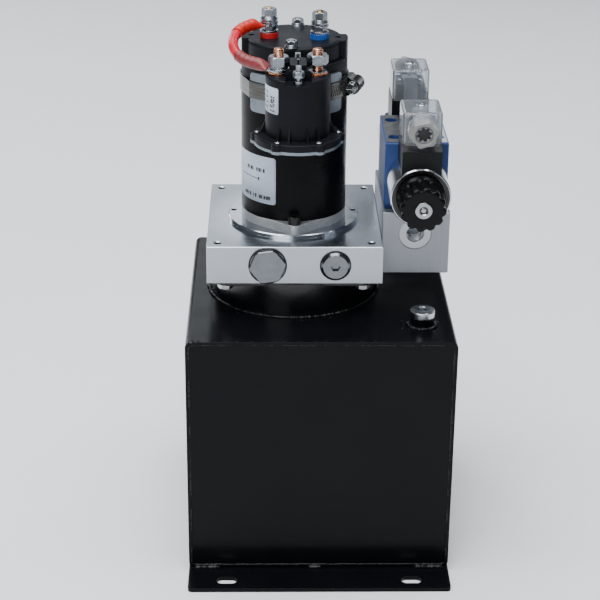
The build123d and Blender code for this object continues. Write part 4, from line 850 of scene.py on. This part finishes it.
def sleeve(bm, line, stud, wrap):
    """Shrunk sleeve: flat over the lug's tongue beside the stud, then round along the cable."""
    start = line[0]
    toward = stud - start
    toward.z = 0
    flat_end = start + toward.normalized() * (toward.length - SLEEVE_TO_STUD)
    flat_end.z = stud.z + 0.2 * MM
    path = [flat_end.copy(), flat_end]
    path += [start.lerp(flat_end, step) for step in (0.75, 0.5, 0.25)]
    sizes = [(0.3, 0.3), (5.7, 1.5), (5.6, 2.2), (5.2, 3.3), (4.7, 4.2)]
    travelled = 0.0
    for before, here in zip(line[:1] + line, line):
        travelled += (here - before).length
        if travelled > wrap:
            break
        swell = 4.35 + 0.10 * math.sin(travelled * 1500) - 8.0 * travelled
        path.append(here)
        sizes.append((swell, swell))
    path.append(path[-1].copy())
    sizes.append((CABLE_R / MM + 0.02, CABLE_R / MM + 0.02))
    rows = []
    for k, (point, (wide, tall)) in enumerate(zip(path, sizes)):
        ahead = path[min(k + 1, len(path) - 2)]
        behind = path[max(1, min(k - 1, len(path) - 3))]
        along = (ahead - behind).normalized()
        side = along.cross(Vector((0, 0, 1))).normalized()
        up = side.cross(along).normalized()
        row = []
        for step in range(28):
            angle = 2 * math.pi * step / 28
            wrinkle = 1 + 0.018 * noise.noise(point * 500 + Vector((step * 0.9, 0, 0)))
            offset = side * wide * math.cos(angle) + up * tall * math.sin(angle)
            row.append(bm.verts.new(point + offset * wrinkle * MM))
        rows.append(row)
    bridge(bm, rows, False)
    bm.faces.new(rows[0])


def lug(bm, stud, heading, eye, thickness):
    """Ring lug: a flat eye drawn out into a tongue that ends inside the sleeve."""
    loops = []
    for height in (-thickness / 2, thickness / 2):
        outline, hole = [], []
        for step in range(96):
            angle = 2 * math.pi * step / 96
            ahead, aside = math.cos(angle), abs(math.sin(angle))
            reach = 6.3
            if ahead > 0:
                reach = max(reach, min(12.5 / ahead, 3.7 / max(aside, 0.01)))
            turned = angle + math.radians(heading)
            flat = Vector((math.cos(turned), math.sin(turned), 0)) * MM
            level = stud + Vector((0, 0, height * MM))
            outline.append(bm.verts.new(level + flat * reach))
            hole.append(bm.verts.new(level + flat * eye))
        loops.append((outline, hole))
    (low_out, low_in), (high_out, high_in) = loops
    bridge(bm, [low_in, low_out, high_out, high_in], True)


def cable(finishes):
    lead = route_curve("jumper_lead", CABLE_ROUTE, CABLE_R)
    lead.data.materials.append(finishes["cable_red"])
    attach(lead, UNIT)
    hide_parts("jumper_cable")
    bare = route_curve("jumper_line", CABLE_ROUTE, 0.0)
    line = line_of(bare)
    bpy.data.objects.remove(bare)
    bm = bmesh.new()
    sleeve(bm, line, MOTOR_STUD, 17.0 * MM)
    sleeve(bm, line[::-1], RELAY_STUD, 19.0 * MM)
    sleeves = finish_mesh("jumper_sleeves", bm, UNIT, finishes["sleeve_red"], 50)
    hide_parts("cable_sleeves")
    bm = bmesh.new()
    lug(bm, MOTOR_STUD, MOTOR_LUG_HEADING, MOTOR_STUD_R, 1.6)
    lug(bm, RELAY_STUD, RELAY_LUG_HEADING, RELAY_STUD_R, 1.5)
    lugs = finish_mesh("jumper_lugs", bm, UNIT, finishes["zinc_plated_steel"])
    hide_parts("cable_lugs")


# ---------------------------------------------------------------- tank details

def tank_welds(finishes):
    """Beads at the neck, the filler boss, the end panels and the feet."""
    bm = bmesh.new()
    centre = Vector((MOTOR.x, MOTOR.y, TANK_HIGH.z + 0.2 * MM))
    weld(bm, circle_points(centre, NECK_R + 0.9 * MM, 520), (0, 0, 1), 1.9 * MM, 1.5 * MM, True, 3, 0.70)
    boss = Vector((FILLER.x, FILLER.y, TANK_HIGH.z + 0.1 * MM))
    weld(bm, circle_points(boss, 9.6 * MM, 120), (0, 0, 1), 2.3 * MM, 1.7 * MM, True, 9, 0.75)
    for y, out in ((TANK_LOW.y, -1), (TANK_HIGH.y, 1)):
        outline = rounded_outline(
            TANK_LOW + Vector((2.3, 0, 2.3)) * MM, TANK_HIGH - Vector((2.3, 0, 2.3)) * MM,
            3.0 * MM, y - out * 0.55 * MM, 1.3 * MM,
        )
        weld(bm, outline, (0, out, 0), 0.95 * MM, 0.62 * MM, True, 5 + out, 0.45, 0.9)
        for start, end in ((-95.0, -74.0), (-9.0, 3.0), (71.0, 95.0)):
            z = 3.2 * MM
            a, b = Vector((start * MM, y + out * 0.3 * MM, z)), Vector((end * MM, y + out * 0.3 * MM, z))
            weld(bm, line_points(a, b, 0.8 * MM), (0, out, 0), 2.1 * MM, 2.0 * MM, False, 7, 0.30)
    return finish_mesh("tank_weld_beads", bm, UNIT, finishes["weld_paint"], 60)


def tank_spatter(finishes):
    """Drops of weld spatter under the paint, thickest by the filler and along the front edge."""
    bm = bmesh.new()
    top = TANK_HIGH.z
    for k in range(46):
        u = 0.5 + 0.5 * noise.noise(Vector((k * 7.31, 1.7, 0.3))) * 1.6
        v = 0.5 + 0.5 * noise.noise(Vector((2.2, k * 5.77, 4.1))) * 1.6
        if k < 14:
            reach = (12.5 + 4.5 * v) * MM
            angle = 2 * math.pi * k / 14 + u
            spot = Vector((FILLER.x + reach * math.cos(angle), FILLER.y + reach * math.sin(angle), top))
        elif k < 34:
            x = TANK_LOW.x + 8 * MM + (TANK_HIGH.x - TANK_LOW.x - 16 * MM) * (k - 14) / 20
            spot = Vector((x + 5 * MM * u, TANK_LOW.y + (0.8 + 1.8 * v) * MM, top))
        else:
            angle = math.radians(-150 + 10 * (k - 34)) + 0.1 * u
            reach = NECK_R + (3.5 + 3.0 * v) * MM
            spot = Vector((MOTOR.x + reach * math.cos(angle), MOTOR.y + reach * math.sin(angle), top))
        size = (0.45 + 0.75 * v) * MM
        blob(bm, spot, size, size * 0.55, k)
    corner = Vector((TANK_LOW.x + 4.6 * MM, TANK_LOW.y + 1.5 * MM, top - 0.3 * MM))
    blob(bm, corner, 2.6 * MM, 0.9 * MM, 77)
    blob(bm, corner + Vector((3.4, -0.4, 0.1)) * MM, 1.6 * MM, 0.8 * MM, 78)
    return finish_mesh("tank_spatter", bm, UNIT, finishes["weld_paint"], 60)


# ---------------------------------------------------------------- block details

def plug_seals(finishes):
    """Black bonded seals behind the two plug heads."""
    bm = bmesh.new()
    ring = [(math.cos(a), math.sin(a)) for a in (math.radians(36 * k) for k in range(10))]
    for plug, radius in ((CHECK_PLUG, 13.5), (RELIEF_PLUG, 10.9)):
        place = Matrix.Translation((plug.x, BLOCK_LOW.y, plug.z)) @ Matrix.Rotation(math.pi / 2, 4, "X")
        revolve(bm, place, [(0.55 + 0.55 * s, radius + 0.55 * c, 0) for c, s in ring], 72)
    return finish_mesh("plug_seals", bm, UNIT, finishes["rubber"], 60)


def port_threads(finishes):
    """Pipe threads in the valve block's front and rear ports."""
    bm = bmesh.new()
    for y, turn in ((VMAN_LOW.y, 90), (VMAN_HIGH.y, -90)):
        place = Matrix.Translation((VALVE_X, y, PORT_Z)) @ Matrix.Rotation(math.radians(turn), 4, "X")
        thread(bm, place, 6.55, 0.75, 1.337, -15.0, -1.6, inward=True)
    return finish_mesh("port_threads", bm, UNIT, finishes["cut_thread_painted_reflection"], 80)


def corner_threads(finishes):
    """Threads in the small holes on the block's top, in near-black metal as painted shade inside the holes.
    """
    bm = bmesh.new()
    for x, y in CORNER_HOLES:
        place = Matrix.Translation((x, y, BLOCK_HIGH.z))
        thread(bm, place, 2.48, 0.42, 1.0, -13.0, -0.7, inward=True)
    return finish_mesh("corner_threads", bm, UNIT, finishes["painted_shade_thread"], 80)


# ---------------------------------------------------------------- motor and relay details

PAPER_OUT = 0.08 * MM
INK_OUT = 0.17 * MM


def labels(finishes):
    """White labels on the motor and the relay, with generic marks."""
    bm = bmesh.new()
    wrapped_patch(bm, MOTOR, MOTOR_R + PAPER_OUT, 150.0, 249.5, 0.2689, 0.3049, 2.2 * MM, 40)
    wrapped_patch(bm, RELAY, RELAY_R + PAPER_OUT, 178.0, 232.8, 0.3525, 0.3712, 1.4 * MM, 20)
    paper = finish_mesh("labels", bm, UNIT, finishes["label"])
    thicken(paper, 0.12 * MM)
    bm = bmesh.new()
    radius = MOTOR_R + INK_OUT
    for low, high, start, widths in (
        (0.2926, 0.2954, 209.0, (2.2, 1.3, 2.6, 1.6, 0.0, 2.0, 2.4, 1.2, 2.4)),
        (0.2721, 0.2749, 203.5, (2.4, 2.6, 1.4, 2.8, 0.0, 1.2, 2.6, 0.0, 2.8, 1.6, 2.4, 2.8, 2.2)),
    ):
        for index, width in enumerate(widths):
            if width:
                place = start + 3.1 * index
                wrapped_patch(bm, MOTOR, radius, place, place + width, low, high, columns=2)
    wrapped_patch(bm, MOTOR, radius, 196.0, 227.0, 0.2869, 0.2874, columns=12)
    wrapped_patch(bm, MOTOR, radius, 227.0, 229.0, 0.2860, 0.2883, columns=2)
    radius = RELAY_R + INK_OUT
    for row in range(4):
        for index in range(3):
            low = 0.3556 + 0.0036 * row
            start = 185.0 + 7.5 * index
            width = 3.5 + 1.5 * ((row + index) % 2)
            wrapped_patch(bm, RELAY, radius, start, start + width, low, low + 1.1 * MM, columns=2)
    for row in range(8):
        for column in range(7):
            if noise.noise(Vector((row * 3.1, column * 2.7, 0.5))) > -0.05:
                low = 0.3570 + 0.00098 * row
                start = 211.5 + 1.75 * column
                wrapped_patch(bm, RELAY, radius, start, start + 1.75, low, low + 0.98 * MM, columns=2)
    wrapped_patch(bm, RELAY, radius, 212.0, 225.0, 0.3541, 0.3549, columns=3)
    ink = finish_mesh("label_marks", bm, UNIT, finishes["ink"])
    thicken(ink, 0.03 * MM)


def studs(finishes):
    """The four main studs with their threads."""
    bm = bmesh.new()
    axis = Matrix.Translation((MOTOR.x, MOTOR.y, 0)) @ Matrix.Rotation(MOTOR_CAP_TURN, 4, "Z")
    for side, top in ((-1, 407.8), (1, 406.5)):
        motor_place = Matrix.Translation(axis @ (Vector((side * 18.2, -4.5, 0)) * MM))
        thread(bm, motor_place, MOTOR_STUD_R, 0.45, 1.0, 378.0, top)
        relay_place = Matrix.Translation((RELAY.x + side * 13.4 * MM, RELAY.y, 0))
        thread(bm, relay_place, RELAY_STUD_R, 0.6, 1.25, 366.6, 394.8)
    piece = finish_mesh("threaded_studs", bm, UNIT, finishes["stud_metal"], 80)
    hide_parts("terminal_studs")


def band_slots(finishes):
    """The worm's slanted slots in the band, as thin dark patches of painted shadow, from behind the relay to
    the worm housing.
    """
    bm = bmesh.new()
    axis = Vector((MOTOR.x, MOTOR.y, (BAND_LOW.z + BAND_HIGH.z) / 2))
    places = []
    for index in range(10):
        angle = math.radians(SADDLE_END - 2.75 * (index + 0.6))
        out = Vector((math.cos(angle), math.sin(angle), 0))
        places.append((axis + out * (BAND_ON_SADDLE_R + 0.05 * MM), out))
    out = Vector((math.cos(BAND_RUN_ANGLE), math.sin(BAND_RUN_ANGLE), 0))
    along = Vector((-out.y, out.x, 0))
    for distance in (7.9, 9.9, 11.9):
        places.append((axis + out * (BAND_ON_MOTOR_R + 0.04 * MM) - along * distance * MM, out))
    half, slant, height = 0.42 * MM, 0.9 * MM, 3.7 * MM
    for spot, out in places:
        along = Vector((-out.y, out.x, 0))
        corners = [(-half - slant, -height), (half - slant, -height),
                   (half + slant, height), (-half + slant, height)]
        bm.faces.new([bm.verts.new(spot + along * across + Vector((0, 0, up))) for across, up in corners])
    piece = finish_mesh("band_slots", bm, UNIT, finishes["slot_shadow"])
    thicken(piece, 0.05 * MM)


# ---------------------------------------------------------------- solenoids and plugs

def lobes(angle):
    """Twelve finger flutes round a knob: 1 in a flute, 0 on a lobe."""
    return (0.5 + 0.5 * math.cos(12 * angle)) ** 2.2


def grips(angle):
    """Six rounded corners with hollow sides: 1 in a hollow, 0 at a corner."""
    return (0.5 - 0.5 * math.cos(6 * angle)) ** 0.8


def teeth(angle):
    """Clamping fingers inside a gland: 1 in a gap, 0 on a finger."""
    return min(1.0, max(0.0, 0.5 + 1.6 * math.cos(8 * angle)))


KNOB_RINGS = [
    (41.35, 17.3, 0), (41.9, 17.45, 0), (43.0, 17.1, 0), (44.2, 16.2, 0), (45.2, 15.5, 0.1),
    (46.2, 15.2, 0.9), (47.6, 15.3, 1.6), (50.0, 15.4, 1.9), (56.0, 15.8, 2.0), (60.5, 16.15, 2.0),
    (62.4, 16.35, 1.9),
    (64.2, 16.25, 1.8), (65.3, 15.7, 1.6), (65.9, 14.9, 1.2), (66.05, 13.4, 0.6), (66.0, 11.6, 0.1),
    (65.95, 9.0, 0), (65.9, 6.3, 0), (65.6, 6.12, 0), (42.6, 6.12, 0), (42.55, 9.6, 0), (41.35, 9.7, 0),
]
GLAND_RINGS = [
    (41.7, 9.3, 0), (42.0, 9.7, 0), (42.4, 10.2, 0.7), (43.2, 10.3, 1.35), (48.4, 10.2, 1.45),
    (49.6, 9.9, 1.3), (50.2, 9.3, 0.9), (50.45, 8.4, 0.4), (50.4, 7.2, 0), (50.1, 6.5, 0), (49.3, 6.1, 0),
    (47.0, 6.0, 0), (41.7, 6.0, 0),
]
FINGER_RINGS = [
    (48.6, 5.95, 0), (48.9, 5.6, 0), (48.4, 4.2, -1.2), (46.5, 4.0, -1.3), (45.5, 5.4, 0), (45.5, 5.95, 0),
]
SEAL_RINGS = [(46.4, 5.3, 0), (46.4, 0.4, 0), (45.8, 0.4, 0), (45.8, 5.3, 0)]
CAP_SCREW_RINGS = [
    (-6.0, 1.4, 0), (0.0, 1.4, 0), (0.0, 2.9, 0), (0.55, 2.9, 0), (0.8, 2.6, 0), (0.8, 1.3, 0),
    (0.35, 1.1, 0), (0.35, 0.2, 0),
]
TERMINAL_SCREW_RINGS = [(0.0, 1.9, 0), (1.3, 1.9, 0), (1.75, 1.5, 0), (1.8, 0.9, 0)]
TERMINAL_SCREWS = [(x, 50.3, z) for z in (11.0, 25.5) for x in (-7.6, 7.6)]
CAP_SCREW = (0, 60.15, 19.1)
GLAND_UP = 49.2
KNOB_TURN = math.radians(9)
GLAND_TURN = math.radians(12)
GASKET_LOW, GASKET_HIGH = 37.22, 37.95
GASKET_WIDE = 14.2
GASKET_IN, GASKET_OUT = 2.3, 35.9
GASKET_RIM = 1.6


def knobs(finishes):
    """The scalloped hand nuts on the coils."""
    for solenoid, name, body in zip(SOLENOIDS, ("front", "rear"), ("front_nut", "rear_nut")):
        bm = bmesh.new()
        revolve(bm, solenoid @ Matrix.Rotation(KNOB_TURN, 4, "Z"), KNOB_RINGS, 180, lobes)
        piece = finish_mesh(f"{name}_knob", bm, body, finishes["knob_plastic"], 42)
        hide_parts(f"{name}_coil_nut")


def glands(finishes):
    """Six-lobed gland nuts, their clamping fingers and the seals behind them."""
    nuts, fingers, seals = bmesh.new(), bmesh.new(), bmesh.new()
    for solenoid in SOLENOIDS:
        place = solenoid @ Matrix.Translation((0, GLAND_UP * MM, 0)) @ Matrix.Rotation(GLAND_TURN, 4, "Z")
        revolve(nuts, place, GLAND_RINGS, 96, grips)
        revolve(fingers, place, FINGER_RINGS, 96, teeth)
        revolve(seals, place, SEAL_RINGS, 48)
    piece = finish_mesh("gland_shells", nuts, UNIT, finishes["pale_grey_plastic"], 28)
    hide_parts("gland_nuts")
    finish_mesh("gland_fingers", fingers, UNIT, finishes["grey_plastic"], 40)
    finish_mesh("gland_seals", seals, UNIT, finishes["rubber"], 40)


def upright(solenoid, spot):
    """A frame at a spot on a solenoid, with its own Z along the way up."""
    return solenoid @ Matrix.Translation(Vector(spot) * MM) @ Matrix.Rotation(-math.pi / 2, 4, "X")


def plug_details(finishes):
    """Gaskets under the clear caps, and the cap and terminal screws."""
    gaskets, screws = bmesh.new(), bmesh.new()
    wide, rim = GASKET_WIDE, GASKET_RIM
    sides = (
        (-wide, wide, GASKET_IN, GASKET_IN + rim),
        (-wide, wide, GASKET_OUT - rim, GASKET_OUT),
        (-wide, -wide + rim, GASKET_IN + rim, GASKET_OUT - rim),
        (wide - rim, wide, GASKET_IN + rim, GASKET_OUT - rim),
    )
    for solenoid in SOLENOIDS:
        place = upright(solenoid, CAP_SCREW)
        revolve(screws, place, CAP_SCREW_RINGS, 28, closed=False)
        for spot in TERMINAL_SCREWS:
            revolve(screws, upright(solenoid, spot), TERMINAL_SCREW_RINGS, 20, closed=False)
        for x0, x1, z0, z1 in sides:
            slab(gaskets, solenoid, (x0, GASKET_LOW, z0), (x1, GASKET_HIGH, z1))
    finish_mesh("plug_gaskets", gaskets, UNIT, finishes["rubber"], 30)
    finish_mesh("terminal_screws", screws, UNIT, finishes["zinc_plated_steel"], 30)


camera()
studio()
made = make_finishes()
paint_cad_nodes(made)
cable(made)
tank_welds(made)
tank_spatter(made)
plug_seals(made)
port_threads(made)
corner_threads(made)
labels(made)
studs(made)
band_slots(made)
knobs(made)
glands(made)
plug_details(made)
